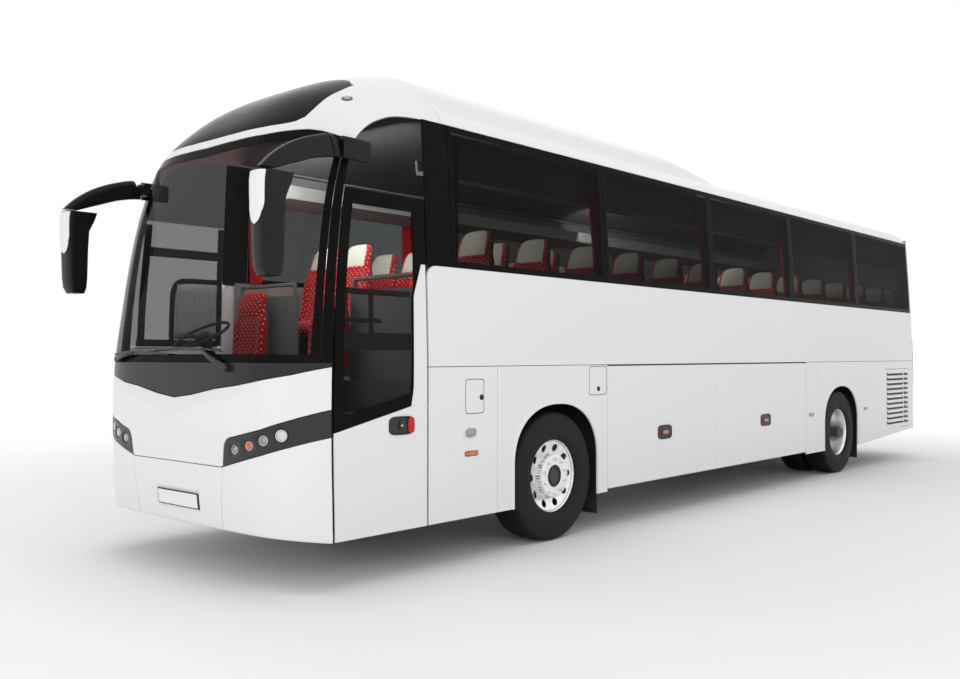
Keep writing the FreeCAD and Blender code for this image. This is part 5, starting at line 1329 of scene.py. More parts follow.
leaf_rear, strip_top = level(LEAF_REAR_Y), level(STRIP_TOP_Z)
leaf_top, glass_top = level(DOOR_HIGH_Z), level(DOOR_HIGH_Z - 0.100)
piece("door_skin", [door_band(level(DOOR_LOW_Z), white_top, door_front, leaf_rear, 22, 24),
                    door_band(white_top, strip_top, strip_edge, leaf_rear, 24, 5)],
      white_paint, "white_paint", ("door_leaf",), DOOR_T, 0.002, body="door_leaf")
piece("door_surround", [door_band(black_foot, glass_low, door_front, frame_rear, 4, 20),
                        door_band(glass_top, leaf_top, door_front, leaf_rear, 4, 20),
                        door_band(glass_low, glass_top, door_front, glass_front, 24, 4),
                        door_band(glass_low, strip_top, glass_rear, frame_rear, 24, 3),
                        door_band(strip_top, glass_top, glass_rear, leaf_rear, 8, 4)],
      black_gloss, "dark_trim", ("door_leaf",), DOOR_T, 0.001, body="door_leaf")
seal_z = ladder(DOOR_LOW_Z, DOOR_HIGH_Z, 24)
seal_part = np.linspace(0.0, 1.0, 3)
piece("door_seals", [side_grid(seam_y(seal_z) - 0.004 + 0.022 * seal_part, seal_z, SEAL_IN),
                     side_grid(DOOR_REAR_Y - 0.035 + 0.110 * seal_part, seal_z, SEAL_IN)],
      joint_rubber, "rubber", (), SEAL_T)
door_window = door_band(glass_low, glass_top, glass_front, glass_rear, 24, 12)
piece("door_window", [door_window - (0.003, 0.0, 0.0)],
      glass("door_tint", tone(214, 217, 216)), "clear_glass", ("door_glass",), 0.006,
      body="door_leaf")


def capped(body):
    """Tube through rows of points, each end closed at the middle of its last row."""
    first, last = [np.repeat(row.mean(0)[None, None], len(row), 1) for row in (body[0], body[-1])]
    return np.concatenate([first, body, last])


def side_bar(y, z, high, thick, inset):
    """Rail behind the side's face: a rounded oblong section carried along a line of (y, z)."""
    deep, wide = squared(-np.linspace(0.0, 2 * math.pi, 25), 0.5)
    y, z = np.broadcast_arrays(y, z)
    along = np.gradient(np.stack([y, z], -1), axis=0)
    along = along / np.linalg.norm(along, axis=-1, keepdims=True)
    return capped(np.stack([(side_x(z) - inset - thick / 2)[:, None] + deep * thick / 2,
                            y[:, None] - along[:, 1:] * wide * high / 2,
                            z[:, None] + along[:, :1] * wide * high / 2], -1))


rail_y = np.linspace(-5.27, LEAF_REAR_Y - 0.14, 9)
rails = [side_bar(rail_y, 1.905, 0.040, 0.022, 0.016),
         side_bar(rail_y, 1.582, 0.115, 0.026, 0.016),
         side_bar(-5.005, np.linspace(1.58, 1.90, 4), 0.035, 0.020, 0.018)]
satin_black = gloss_black("satin_black", 26, 0.34)
piece("door_rails", rails, satin_black, "dark_trim", ("door_leaf",), body="door_leaf",
      turn_out=True)

# Door handle. A recessed black pod with a push button in its middle and a red release at its end.
HANDLE_Y = -4.765
HANDLE_Z = 1.020
HANDLE_HALF_W = 0.115
HANDLE_HALF_H = 0.0625
red_plastic = body_paint("red_plastic", tone(196, 22, 26), 0.3)


def side_oval(y, z, half_w, half_h, profile, square=2.0, steps=48):
    """Raised or sunk oblong on the left side about (y, z).

    Its outline is a superellipse, and profile gives pairs of share of the size and height out.
    """
    turn = -np.linspace(0.0, 2 * math.pi, steps + 1)[:, None]
    share, height = np.array(profile, float).T
    across, rise = squared(turn, 2.0 / square)
    up = z + half_h * rise * share
    return np.stack([side_x(up) + height, y + half_w * across * share, up], -1)


pod_profile = [(1.0, -0.006), (1.0, 0.006), (0.97, 0.009), (0.90, 0.009), (0.82, 0.002),
               (0.40, 0.0015), (0.0, 0.0015)]
button = [(1.0, 0.0), (1.0, 0.008), (0.85, 0.011), (0.35, 0.011), (0.22, 0.006), (0.0, 0.006)]
release = [(1.0, 0.0), (1.0, 0.010), (0.9, 0.012), (0.0, 0.012)]
key_hole = [(1.0, 0.005), (0.9, 0.0085), (0.0, 0.009)]
piece("door_handle",
      [side_oval(HANDLE_Y, HANDLE_Z, HANDLE_HALF_W, HANDLE_HALF_H, pod_profile, 4.0),
       side_oval(HANDLE_Y, HANDLE_Z, 0.030, 0.034, button),
       (side_oval(HANDLE_Y + 0.086, HANDLE_Z, 0.030, 0.053, release, 3.2), 1),
       (side_oval(HANDLE_Y, HANDLE_Z, 0.008, 0.008, key_hole), 2)],
      [satin_black, red_plastic, chrome], "dark_trim", (), body="door_leaf", sharp=35.0)

# Mirrors. A moulded base on the corner of the dome carries a deep swan neck arm, jointed so that it
# folds, and a hanging head with a white shield on its front face and the glass towards the rear.
ARM_TOP = [(-5.030, 2.888), (-5.320, 2.890), (-5.502, 2.851), (-5.665, 2.786), (-5.810, 2.691),
           (-5.902, 2.603)]
ARM_LOW = [(-5.030, 2.746), (-5.264, 2.746), (-5.438, 2.722), (-5.600, 2.670), (-5.720, 2.628),
           (-5.800, 2.600)]
ARM_OUT = [1.264, 1.266, 1.272, 1.281, 1.287, 1.289]
ARM_IN = [1.228, 1.206, 1.204, 1.210, 1.214, 1.216]
HEAD_LEVELS = [(1.962, -5.860, -5.765, 1.175, 1.292), (2.010, -5.885, -5.752, 1.166, 1.300),
               (2.080, -5.893, -5.748, 1.162, 1.304), (2.300, -5.902, -5.744, 1.160, 1.305),
               (2.440, -5.908, -5.736, 1.160, 1.305), (2.530, -5.912, -5.692, 1.160, 1.304),
               (2.586, -5.905, -5.672, 1.162, 1.300)]


def ring_loft(sections, steps=40, square=3.2):
    """Closed form through rounded oblong sections with capped ends.

    Each section is a centre, a half size vector across and a half size vector up; the outline
    between them is a superellipse.
    """
    centre, across, up = [np.array([section[k] for section in sections], float)[:, None]
                          for k in range(3)]
    wave, lift = squared(ladder(0.0, 2 * math.pi, steps + 1), 2.0 / square)
    return capped(centre + across * wave + up * lift)


def arm_sections(first, last, count):
    """Sections across the arm between two shares of its length."""
    wanted = np.linspace(first, last, count)
    top, low = [eased(points, 101)[np.round(wanted * 100).astype(int)]
                for points in (ARM_TOP, ARM_LOW)]
    places = np.linspace(0.0, 1.0, 6)
    out, inside = np.interp(wanted, places, ARM_OUT), np.interp(wanted, places, ARM_IN)
    made = []
    for (y1, z1), (y0, z0), x1, x0 in zip(top, low, out, inside):
        made.append((((x0 + x1) / 2, (y0 + y1) / 2, (z0 + z1) / 2), ((x1 - x0) / 2, 0, 0),
                     (0, (y1 - y0) / 2, (z1 - z0) / 2)))
    return made


def mirror_body():
    """Head: its plan is a box with raked front corners, rounded, drawn up through the levels."""
    level_z, front, rear, inner, outer = np.array(HEAD_LEVELS).T[:, :, None]
    plan_x = np.array([0.0, 0.03, 0.30, 0.72, 0.90, 0.985, 1.0, 1.0, 0.98, 0.5, 0.03, 0.0, 0.0])
    plan_y = np.array([0.86, 0.93, 0.985, 1.0, 0.97, 0.86, 0.62, 0.10, 0.0, 0.0, 0.0, 0.05, 0.86])
    places = np.arange(13, dtype=float)
    wanted = np.unique(np.concatenate([np.linspace(0, 12, 61), places]))
    along, deep = np.interp(wanted, places, plan_x), np.interp(wanted, places, plan_y)
    x = inner + (outer - inner) * along
    y = rear + (front - rear) * deep
    return capped(np.stack([x, y, level_z + 0 * x], -1))


def mirror_shield():
    """Shield over the head's front face: it widens in a half round from the foot to full width."""
    part = ladder(0.0, 1.0, 20)
    z = 2.262 + (2.578 - 2.262) * part
    front, rear = [np.interp(z, *np.array(HEAD_LEVELS)[:, [0, side]].T) for side in (1, 2)]
    share = np.linspace(0.0, 1.0, 24)
    rounded = np.sqrt(np.clip(1 - np.clip(1 - part / 0.45, 0.0, 1.0) ** 2, 0.0, 1.0))
    across = 0.42 - 0.41 * rounded + (0.01 + 0.965 * rounded) * share
    x = 1.160 + (1.303 - 1.160) * across
    bend = (rear - front) * np.interp(across, [0.0, 0.03, 0.30, 0.72, 0.90, 0.985, 1.0],
                                      [0.14, 0.07, 0.015, 0.0, 0.03, 0.14, 0.20])
    return np.stack([x, front + bend - 0.0075, z + 0 * x], -1)


mirror_black = gloss_black("mirror_black", 20, 0.20, 0.22)
mirror_white = body_paint("mirror_white", tone(236, 236, 237), 0.24)
mirror_glass = metal("mirror_glass", tone(214, 220, 222), 0.08, 0.0)
base_sections = [((1.246, y, z), (0.019, 0, 0), (0, 0, half)) for y, z, half in (
    (-5.032, 2.817, 0.060), (-5.040, 2.817, 0.069), (-5.150, 2.818, 0.071), (-5.262, 2.818, 0.071))]
foot_sections = [((x, -5.262 - (x - 1.20) * 0.1, 2.818), (0, 0.045, 0), (0, 0, 0.052))
                 for x in (1.145, 1.19, 1.235)]
pair("mirror_arm_{}", [ring_loft(arm_sections(0.27, 1.0, 26)),
                       ring_loft(arm_sections(0.225, 0.262, 3), square=2.6),
                       ring_loft(base_sections, square=5.0), ring_loft(foot_sections, square=4.0),
                       mirror_body()],
     mirror_black, "dark_trim", ("mirrors",), 0.0, 0.003, sharp=40.0, turn_out=True)
pair("mirror_shield_{}", [mirror_shield()], mirror_white, "white_paint", (), 0.004, 0.001)
face_z = ladder(2.030, 2.425, 8)
face_rear = np.interp(face_z, *np.array(HEAD_LEVELS)[:, [0, 2]].T)
face = np.broadcast_arrays(np.linspace(1.288, 1.178, 6), face_rear + 0.0015, face_z)
pair("mirror_glass_{}", [np.stack(face, -1)], mirror_glass, "clear_glass", (), 0.003, 0.0005)

# Wipers. Two pressed steel arms with sprung elbows park one above the other along the foot of the
# windscreen, each with a rubber blade in a slim carrier.
WIPERS = [(-0.820, 1.462, -0.545, 1.508, -0.900, -0.080),
          (0.620, 1.410, 0.330, 1.530, -0.335, 0.560)]
WIPER_LIFT = 0.026
wiper_black = rubber("wiper_black", 26, 0.4)


def strut(x, z, *sizes):
    """Flat bar over the windscreen along (x, z): lift off it, width in its plane, thickness."""
    lift, wide, thick = [np.broadcast_to(size, x.shape)[:, None] for size in sizes]
    share = x / HALF_W
    run = run_at(share, z)
    normal = nose.normal(share, run)
    points = nose.point(share, run) + normal * lift
    along = np.gradient(points, axis=0)
    along = along / np.linalg.norm(along, axis=1, keepdims=True)
    across = np.cross(normal, along)
    return ring_loft(list(zip(points, across * wide / 2, normal * thick / 2)), 24, 3.0)


for number, (pivot_x, pivot_z, tip_x, tip_z, left, right) in enumerate(WIPERS):
    share = np.linspace(0.0, 1.0, 12)
    arm = strut(pivot_x + (tip_x - pivot_x) * share, pivot_z + (tip_z - pivot_z) * share,
                WIPER_LIFT + 0.016 * np.sin(share * math.pi), 0.046 - 0.028 * share,
                0.026 - 0.014 * share)
    blade_x = np.linspace(left, right, 30)
    bow = np.sin(np.linspace(0, math.pi, 30))
    blade_z = tip_z - 0.010 + 0.016 * bow
    carrier = strut(blade_x, blade_z, WIPER_LIFT - 0.004, 0.010 + 0.008 * bow, 0.012)
    lip = strut(blade_x, blade_z - 0.006, 0.010, 0.006, 0.020)
    hub = round_form(front_frame(pivot_x, pivot_z), [(0.024, -0.004), (0.026, 0.024),
                                                     (0.024, 0.036), (0.016, 0.042), (0.0, 0.043)])
    piece(f"wiper_{number + 1}", [arm, carrier, lip, hub], wiper_black, "dark_trim", ("wipers",),
          sharp=40.0, turn_out=True)


# Floors. The passenger deck, the cab floor and the steps are covered with speckled grey vinyl;
# partition, racks and linings are moulded grey plastic with a leather grain.
def moulded(name, shade, grain_size=140.0, rough=0.55):
    """Moulded trim: a fine pebble grain with slightly polished high spots."""
    nodes = new_material(name)
    pebble = nodes.add("TexVoronoi", {"feature": "SMOOTH_F1"},
                       {"Vector": nodes.place(), "Scale": grain_size})
    return nodes.coat(
        Base_Color=nodes.tint(nodes.noise(3.0, 3.0), tone(shade - 6), tone(shade + 6)),
        Roughness=pebble * 0.2 + (rough - 0.1), Normal=nodes.bump(pebble, 0.0008, 0.4))


vinyl = new_material("vinyl_floor")
speckle = vinyl.noise(420.0, 1.0)
worn = vinyl.noise(2.0, 4.0)
ground = vinyl.tint(worn, tone(84, 86, 90), tone(98, 99, 101))
dress(vinyl.coat(Base_Color=vinyl.tint(speckle.step(0.58, 0.66), ground, tone(160)),
                 Roughness=worn * 0.2 + 0.42, Normal=vinyl.bump(speckle, 0.0004, 0.4)),
      "floor_deck", "cab_floor", "entrance_steps")
rack_grey = moulded("rack_grey", 150)
dress(moulded("trim_grey", 118), "cab_partition")
dress(rack_grey, "luggage_racks")
DECK_Z = 1.300
lining_y = np.linspace(-4.40, 5.60, 30)
lining_x = np.linspace(-1.130, 1.130, 25)
ceiling = np.broadcast_arrays(lining_x, lining_y[:, None],
                              3.255 - 0.11 * (np.abs(lining_x) / 1.13) ** 5)
lower_wall = side_grid(lining_y, ladder(DECK_Z + 0.002, SILL_Z, 6), 0.038)[::-1]
rear_lining = np.broadcast_arrays(lining_x * 1.06, 5.66, ladder(DECK_Z + 0.01, 3.20, 8))
piece("cabin_lining", [np.stack(ceiling, -1)[::-1], lower_wall, other_side(lower_wall),
                       np.stack(rear_lining, -1)],
      moulded("lining_grey", 138, 90.0, 0.75), "grey_trim")

# Cabin lamps. Rows of ceiling lamps along the aisle and one over the cab light the interior.
soft_box("aisle_lamp", (0.0, 0.6, 3.15), (0.0, 0.6, 0.0), 9.0, 1.1, 45.0)
soft_box("front_fill", (0.0, -4.30, 2.95), (0.0, 1.0, 1.9), 1.5, 0.4, 34.0)
soft_box("middle_fill", (0.0, 0.10, 3.00), (0.0, 5.5, 1.9), 1.5, 0.3, 34.0)
soft_box("cab_lamp", (-0.1, -4.9, 2.95), (-0.1, -4.7, 0.0), 1.4, 0.7, 24.0)

# Seats. Reclining coach seats in red cloth with small pale dots: a foam cushion on a pedestal, a
# high back in a grey shell, and a sewn off white cover round each headrest.
ROW_FIRST_Y = -3.815
ROW_PITCH = 0.722
ROW_COUNT = 13
SEAT_X = 0.700
SEAT_SPACING = 0.2265
SEAT_HALF = 0.219
SEAT_D = 0.440
CUSHION_LOW_Z = 1.640
CUSHION_T = 0.140
BACK_LOW_Z = 1.700
BACK_TOP_Z = 2.470
BACK_T = 0.110
BACK_LEAN = 0.170
COVER_FROM = 0.70
DOT_PITCH = 0.056
DOT_SHARE = 0.085


def dotted_cloth(name, tint, dot):
    """Woven moquette: red pile with rows of small pale dots set between each other."""
    nodes = new_material(name)
    spots = 0.0
    for shift in (0.0, 0.5):
        across = (nodes.place("X") / DOT_PITCH + shift) % 1.0 - 0.5
        along = ((nodes.place("Z") + nodes.place("Y") * 0.97) / DOT_PITCH + shift) % 1.0 - 0.5
        spots = ((across * across + along * along) ** 0.5).step(DOT_SHARE * 1.25, DOT_SHARE) + spots
    pile = nodes.noise(520.0, 2.0)
    cloth = nodes.tint(pile * 0.5 + nodes.noise(7.0, 4.0) * 0.5, darker(tint, 0.62), tint)
    return nodes.coat(
        Base_Color=nodes.tint(spots, cloth, dot), Roughness=pile * 0.1 + 0.82,
        Sheen_Weight=0.25, Sheen_Roughness=0.4, Normal=nodes.bump(pile, 0.0012, 0.6))


def plain_cloth(name, tint):
    """Plain woven cloth: a crossed weave of warp and weft with soft shade from place to place."""
    nodes = new_material(name)
    warp, weft = [nodes.add("TexWave", {"bands_direction": axis},
                            {"Vector": nodes.place(), "Scale": 180.0, "Distortion": 0.5})
                  for axis in "ZX"]
    shade = nodes.noise(5.0, 4.0)
    return nodes.coat(
        Base_Color=nodes.tint(shade, darker(tint, 0.75), tint), Roughness=shade * 0.1 + 0.85,
        Sheen_Weight=0.2, Normal=nodes.bump(warp * 0.5 + weft * 0.5, 0.0006, 0.5))


seat_red = dotted_cloth("seat_red", tone(190, 18, 24), tone(225, 205, 190))
cover_white = plain_cloth("cover_white", tone(222, 218, 204))
shell_grey = moulded("shell_grey", 92)


def seat_back(height, lean):
    """Back of one seat standing at the origin: front grids, head cover and rear shell.

    Its width narrows to the headrest, its sides stand forward as bolsters, its front has two
    sewn channels, and it closes at the top and the bottom in a round.
    """
    share = np.concatenate([[0.0], np.linspace(0.006, 0.09, 4), np.linspace(0.13, COVER_FROM, 11),
                            np.linspace(COVER_FROM + 0.04, 0.93, 6), [0.965, 0.985, 1.0]])[:, None]
    wide = np.interp(share, [0, 0.1, 0.5, 0.66, 0.76, 0.9, 1.0],
                     [0.97, 1.0, 1.0, 0.96, 0.80, 0.76, 0.66]) * SEAT_HALF
    round_off = np.sqrt(np.clip(1 - np.clip((share - 0.93) / 0.07, 0, 1) ** 2, 0, 1)) * np.sqrt(
        np.clip(1 - np.clip((0.05 - share) / 0.05, 0, 1) ** 2, 0, 1))
    half_t = BACK_T / 2 * np.interp(share, [0, 0.15, 0.6, 0.8, 1], [0.85, 1.0, 0.8, 0.85, 0.7])
    wide, half_t = wide * (0.5 + 0.5 * round_off), half_t * round_off
    mid_y = BACK_T / 2 + lean * share ** 1.1 + 0.012 * np.sin(share * math.pi * 2)
    body = np.clip((0.68 - share) / 0.1, 0, 1) * np.clip(share / 0.1, 0, 1)
    sheets = []
    for first, last, count, soft in ((math.pi, 2 * math.pi, 27, 1), (0.0, math.pi, 11, 0)):
        along, deep = squared(np.linspace(first, last, count), 0.62)
        wings = -0.024 * np.clip((np.abs(along) - 0.55) / 0.3, 0, 1) * (1 - np.abs(along) ** 8)
        channel = 0.008 * np.exp(-((np.abs(along) - 0.56) / 0.05) ** 2)
        dip = 0.012 * np.exp(-((share - 0.70) / 0.025) ** 2) * -deep
        y = mid_y + half_t * deep + soft * ((wings + channel) * body + dip * round_off)
        sheets.append(np.stack([wide * along, y, height * share + 0 * y], -1))
    front, rear = sheets
    row = int(np.searchsorted(share[:, 0], COVER_FROM + 0.01))
    return [(front[:row + 1], 0), (front[row:, :8], 0), (front[row:, 7:20], 1),
            (front[row:, 19:], 0), (rear, 2)]


def cushion(depth, thick, half=SEAT_HALF):
    """Seat cushion: a crowned superellipsoid whose rim is a seam and whose sides pull in."""
    lift = ladder(-math.pi / 2, math.pi / 2, 17)
    ring = squared(lift, 0.36)[0]
    side, end = squared(np.linspace(0.0, 2 * math.pi, 37), 0.42)
    x = half * ring * side
    y = depth / 2 * ring * end
    z = thick / 2 * squared(lift, 0.75)[1]
    crown = 0.012 * (1 - (x / half) ** 2) * (1 - (y / depth * 2) ** 2) * (z > 0)
    front_roll = -0.018 * np.clip((-y / (depth / 2) - 0.55) / 0.45, 0, 1) ** 2 * (z > 0)
    channel = -0.007 * np.exp(-((np.abs(x) / half - 0.60) / 0.05) ** 2) * (z > 0)
    z = z + crown + front_roll + channel * np.clip(ring, 0, 1)
    return np.stack([x, y - depth / 2 + 0 * z, z], -1)


def block(low, high):
    """Rounded bar that fills the box between two corners, drawn up from its foot."""
    low, high = np.array(low, float), np.array(high, float)
    middle, half = (low + high) / 2, (high - low) / 2
    levels = low[2] + (high[2] - low[2]) * np.array([0.0, 0.02, 0.5, 0.98, 1.0])
    return ring_loft([((middle[0], middle[1], z), (half[0] * size, 0, 0), (0, half[1] * size, 0))
                      for z, size in zip(levels, (0.9, 1.0, 1.0, 1.0, 0.9))], 24, 9.0)


def seat_pieces(name, nodes, places, cloths, form, pad, back_at, pad_z):
    """Backs and cushions of the seats at (x, y): copies of one back's form and of one cushion."""
    backs = [(grid + (x, y + back_at[0], back_at[1]), number)
             for x, y in places for grid, number in form]
    pads = [pad + (x, y, pad_z) for x, y in places]
    piece(name.format("backs"), backs, cloths, "seat_cloth", nodes[:1], sharp=60.0)
    piece(name.format("cushions"), pads, seat_red, "seat_cloth", nodes[1:], sharp=60.0)


row_y = ROW_FIRST_Y + ROW_PITCH * np.arange(ROW_COUNT)
banks = {hand: [(middle + step, y) for y in row_y for step in (-SEAT_SPACING, SEAT_SPACING)]
         for hand, middle in (("left", SEAT_X), ("right", -SEAT_X))}
banks["bench"] = [(0.455 * step, 5.571) for step in (-2, -1, 0, 1, 2)]
steel_leg = painted_steel("steel_leg", tone(70, 71, 74), 0.45)
for bank, places in banks.items():
    lean, middle, reach = (0.02, 0.0, 0.16) if bank == "bench" else (BACK_LEAN, SEAT_SPACING, 0.40)
    seat_pieces("{}_" + bank, ("seat_backs", "seat_bases"), places,
                [seat_red, cover_white, shell_grey], seat_back(BACK_TOP_Z - BACK_LOW_Z, lean),
                cushion(SEAT_D - 0.004, CUSHION_T), (0.002, BACK_LOW_Z),
                CUSHION_LOW_Z + CUSHION_T / 2)
    legs = [block((x + middle - half, y - front, low), (x + middle + half, y - rear, high))
            for x, y in places[::2] for half, front, rear, low, high in (
                (reach, 0.36, 0.30, CUSHION_LOW_Z - 0.045, CUSHION_LOW_Z + 0.004),
                (reach, 0.14, 0.08, CUSHION_LOW_Z - 0.045, CUSHION_LOW_Z + 0.004),
                (0.03, 0.34, 0.10, DECK_Z, CUSHION_LOW_Z - 0.02),
                (0.12, 0.37, 0.07, DECK_Z, DECK_Z + 0.02))]
    piece("pedestals_" + bank, legs, steel_leg, "steel_frame", ("seat_bases",), sharp=50.0,
          turn_out=True)
CAB_Z = 0.850
crew_places = [(-0.760, -4.560), (0.250, -4.560)]
seat_pieces("crew_{}", ("crew_seats", "crew_seats"), crew_places, [seat_red, seat_red, shell_grey],
            seat_back(0.700, 0.075), cushion(0.450, 0.130), (-0.070, CAB_Z + 0.470),
            CAB_Z + 0.380 + 0.130 / 2)
piece("crew_pedestals", [block((x - 0.16, y - 0.36, CAB_Z), (x + 0.16, y - 0.06, CAB_Z + 0.385))
                         for x, y in crew_places], shell_grey, "steel_frame", ("crew_seats",),
      sharp=50.0, turn_out=True)

# Curtains. Red pleated curtains hang from a rail over each window pillar, gathered together
# and narrowing towards their lower hem.
CURTAIN_FLAT = (0.58, 0.94)
CURTAIN_TOP_Z = 3.058
FOLDS = 9
curtain_red = plain_cloth("curtain_red", tone(206, 22, 28))


def pleated(width, length):
    """Depth of the folds at which a wave over this width is as long as the cloth's cut width.

    The wave is a sine of so many folds; its length is found from a table of depths.
    """
    turn = np.linspace(0.0, 2 * math.pi, 200)
    depths = np.linspace(0.0, 0.03, 60)
    step = np.stack([np.full((60, 199), width / FOLDS / 199),
                     np.diff(depths[:, None] * np.sin(turn), axis=1)])
    lengths = FOLDS * np.hypot(*step).sum(1)
    return np.interp(length, lengths, depths)


def curtain(middle_y):
    """Gathered curtain behind the side glass: pleats along y that swing in and out of the wall."""
    part = np.linspace(0.0, 1.0, 22)
    z = CURTAIN_TOP_Z - CURTAIN_FLAT[1] * part
    width = 0.235 - 0.105 * part ** 0.8
    depth = np.array([pleated(value, CURTAIN_FLAT[0]) for value in width])[:, None]
    share = np.linspace(0.0, 1.0, FOLDS * 12 + 1)
    sway = 0.010 * np.sin(share * 4.3 + 1.0) * part[:, None] ** 2
    y = middle_y - 0.030 + (share - 0.5) * width[:, None] + sway
    fold = np.sin(share * FOLDS * 2 * math.pi + 0.5 * part[:, None])
    x = side_x(z)[:, None] - 0.058 + depth * fold * 0.98
    return np.stack([x, y, z[:, None] + 0 * x], -1)[::-1]


for number, middle_y in enumerate((-4.159, -2.305, -0.395, 1.535, 3.565, 5.550)):
    hung = curtain(middle_y)
    for hand, cloth in (("left", hung), ("right", other_side(hung))):
        made = piece(f"curtain_{hand}_{number + 1}", [cloth], curtain_red, "curtain_cloth",
                     ("curtains",), sharp=80.0)

# Cab. A wide padded dashboard with a hooded instrument binnacle, and a thin rimmed steering wheel
# with two spokes on a raked column.
dash_black = moulded("dash_black", 48, 110.0, 0.6)
dash_x = np.linspace(-1.055, 0.555, 45)
dash_section = eased([(-5.180, 0.852), (-5.185, 1.100), (-5.195, 1.180), (-5.205, 1.300),
                      (-5.215, 1.370), (-5.260, 1.396), (-5.330, 1.400), (-5.450, 1.376),
                      (-5.560, 1.330), (-5.585, 1.280), (-5.590, 1.100)], 41)
hood = np.exp(-((dash_x + 0.760) / 0.22) ** 4)[:, None]
rise = hood * np.exp(-((dash_section[:, 0] + 5.300) / 0.075) ** 2) * (dash_section[:, 1] > 1.25)
lean_in = np.clip((np.abs(dash_x[:, None] + 0.25) - 0.62) / 0.2, 0, 1) ** 2 * 0.10
dash_y = np.minimum(dash_section[:, 0] + lean_in * (dash_section[:, 0] < -5.4), -5.18)
dashboard = np.broadcast_arrays(dash_x[:, None], dash_y, dash_section[:, 1] + 0.095 * rise)
piece("dashboard_skin", [np.stack(dashboard, -1).transpose(1, 0, 2)], dash_black, "dark_trim",
      ("dashboard",), 0.010, sharp=60.0)
RIM_R = 0.225
RIM_HALF = 0.013
WHEEL_MIDDLE = np.array([-0.760, -5.010, 1.650])
WHEEL_TILT = math.radians(28.0)


def tilted(x, y, z):
    """Points of the wheel's own plane turned back about the X axis and put in place."""
    return WHEEL_MIDDLE + np.stack([x, y * math.cos(WHEEL_TILT) - z * math.sin(WHEEL_TILT),
                                    y * math.sin(WHEEL_TILT) + z * math.cos(WHEEL_TILT)], -1)


def spoke(start, end, size):
    """Flat bar between two points of the wheel's own plane, with its width across its run."""
    centre = tilted(*between(np.array(start), np.array(end), 6).T)
    across = tilted(0.0, size, 0.0) - WHEEL_MIDDLE
    up = tilted(0.0, 0.0, 0.008) - WHEEL_MIDDLE
    if abs(end[0] - start[0]) < abs(end[1] - start[1]):
        across = np.array([size, 0, 0])
    return ring_loft([(point, across, up) for point in centre], 20, 2.6)


turn = ladder(0.0, 2 * math.pi, 65)
small = np.linspace(0.0, 2 * math.pi, 13)
flat = RIM_R + RIM_HALF * np.cos(small)
rim = tilted(flat * np.cos(turn), flat * np.sin(turn), RIM_HALF * np.sin(small) + 0 * turn)
column = ring_loft([(tilted(0.0, 0.0, -depth), np.array([size, 0, 0]),
                     tilted(0.0, size, 0.0) - WHEEL_MIDDLE)
                    for depth, size in ((-0.012, 0.050), (0.0, 0.062), (0.05, 0.055), (0.07, 0.038),
                                        (0.30, 0.038))], 28, 2.2)
piece("steering_ring", [rim, spoke((-0.212, 0, 0), (-0.03, 0, -0.01), 0.022),
                        spoke((0.212, 0, 0), (0.03, 0, -0.01), 0.022),
                        spoke((0, -0.212, 0), (0, -0.03, -0.01), 0.018), column], dash_black,
      "dark_trim", ("steering_wheel",), sharp=60.0, turn_out=True)


# Driver's window. Seen through the windscreen, black rails and a rounded sliding frame stand
# behind the fixed pane of the right side, with a ribbed blind in its lower rear corner.
def frame_line(y, z, high):
    """Rail behind the side glass through points that are joined by a smooth line."""
    points = eased(list(zip(*np.broadcast_arrays(y, z))), 8 * max(np.size(y), np.size(z)))
    return side_bar(points[:, 0], points[:, 1], high, 0.020, 0.014)


driver_rails = [frame_line((-5.24, -4.90, -4.56), 2.335, 0.075),
                frame_line((-5.30, -4.95, -4.56), 1.590, 0.060),
                frame_line(-4.545, (1.57, 2.1, 2.57), 0.050),
                frame_line((-5.265, -5.255, -5.235, -5.215), (1.60, 1.9, 2.2, 2.55), 0.060),
                frame_line((-4.56, -4.86, -4.95, -4.985, -4.99, -4.99),
                           (2.115, 2.112, 2.085, 1.990, 1.80, 1.60), 0.045)]
piece("driver_window_frames", mirrored(driver_rails), satin_black, "dark_trim", (), turn_out=True)
BLIND_RIBS = 14
ribs = side_grid(np.linspace(-4.965, -4.575, BLIND_RIBS * 8 + 1), ladder(1.625, 2.085, 8))
ribs[..., 0] += 0.004 * np.sin(np.linspace(0, BLIND_RIBS * 2 * math.pi, ribs.shape[1])) - 0.030
piece("driver_blind", [other_side(ribs)], rack_grey, "grey_trim", (), 0.002)

# Body side fittings. Locks, key flaps, marker lamps and the repeater are let into the panels.
marker_orange = lens("marker_orange", tone(214, 106, 40), 0.25, 0.1)
lock_plate = [(1.0, -0.004), (1.0, 0.004), (0.965, 0.006), (0.90, 0.0055), (0.86, 0.001),
              (0.0, 0.001)]
paddle = [(1.0, 0.0), (1.0, 0.003), (0.85, 0.005), (0.0, 0.005)]
flash = [(1.0, 0.004), (0.9, 0.0065), (0.0, 0.0065)]
# Each lock's orange flash uses the marker lens finish and so glows faintly: painted light, as the
# lock is no lamp.
for end, y, z in (("front", -1.379, 0.776), ("rear", 0.750, 0.781)):
    pair(f"flap_lock_{end}_{{}}", [side_oval(y, z, 0.125, 0.066, lock_plate, 4.5),
                                   side_oval(y + 0.010, z - 0.004, 0.070, 0.030, paddle, 5.0),
                                   (side_oval(y + 0.010, z - 0.002, 0.052, 0.017, flash, 3.0), 1)],
         [satin_black, marker_orange], "dark_trim", body=f"flap_{{}}_{end}", sharp=35.0)
marker_base = [(1.0, -0.003), (1.0, 0.002), (0.9, 0.003), (0.0, 0.003)]
marker_lens = [(1.0, 0.003), (0.8, 0.006), (0.0, 0.0065)]
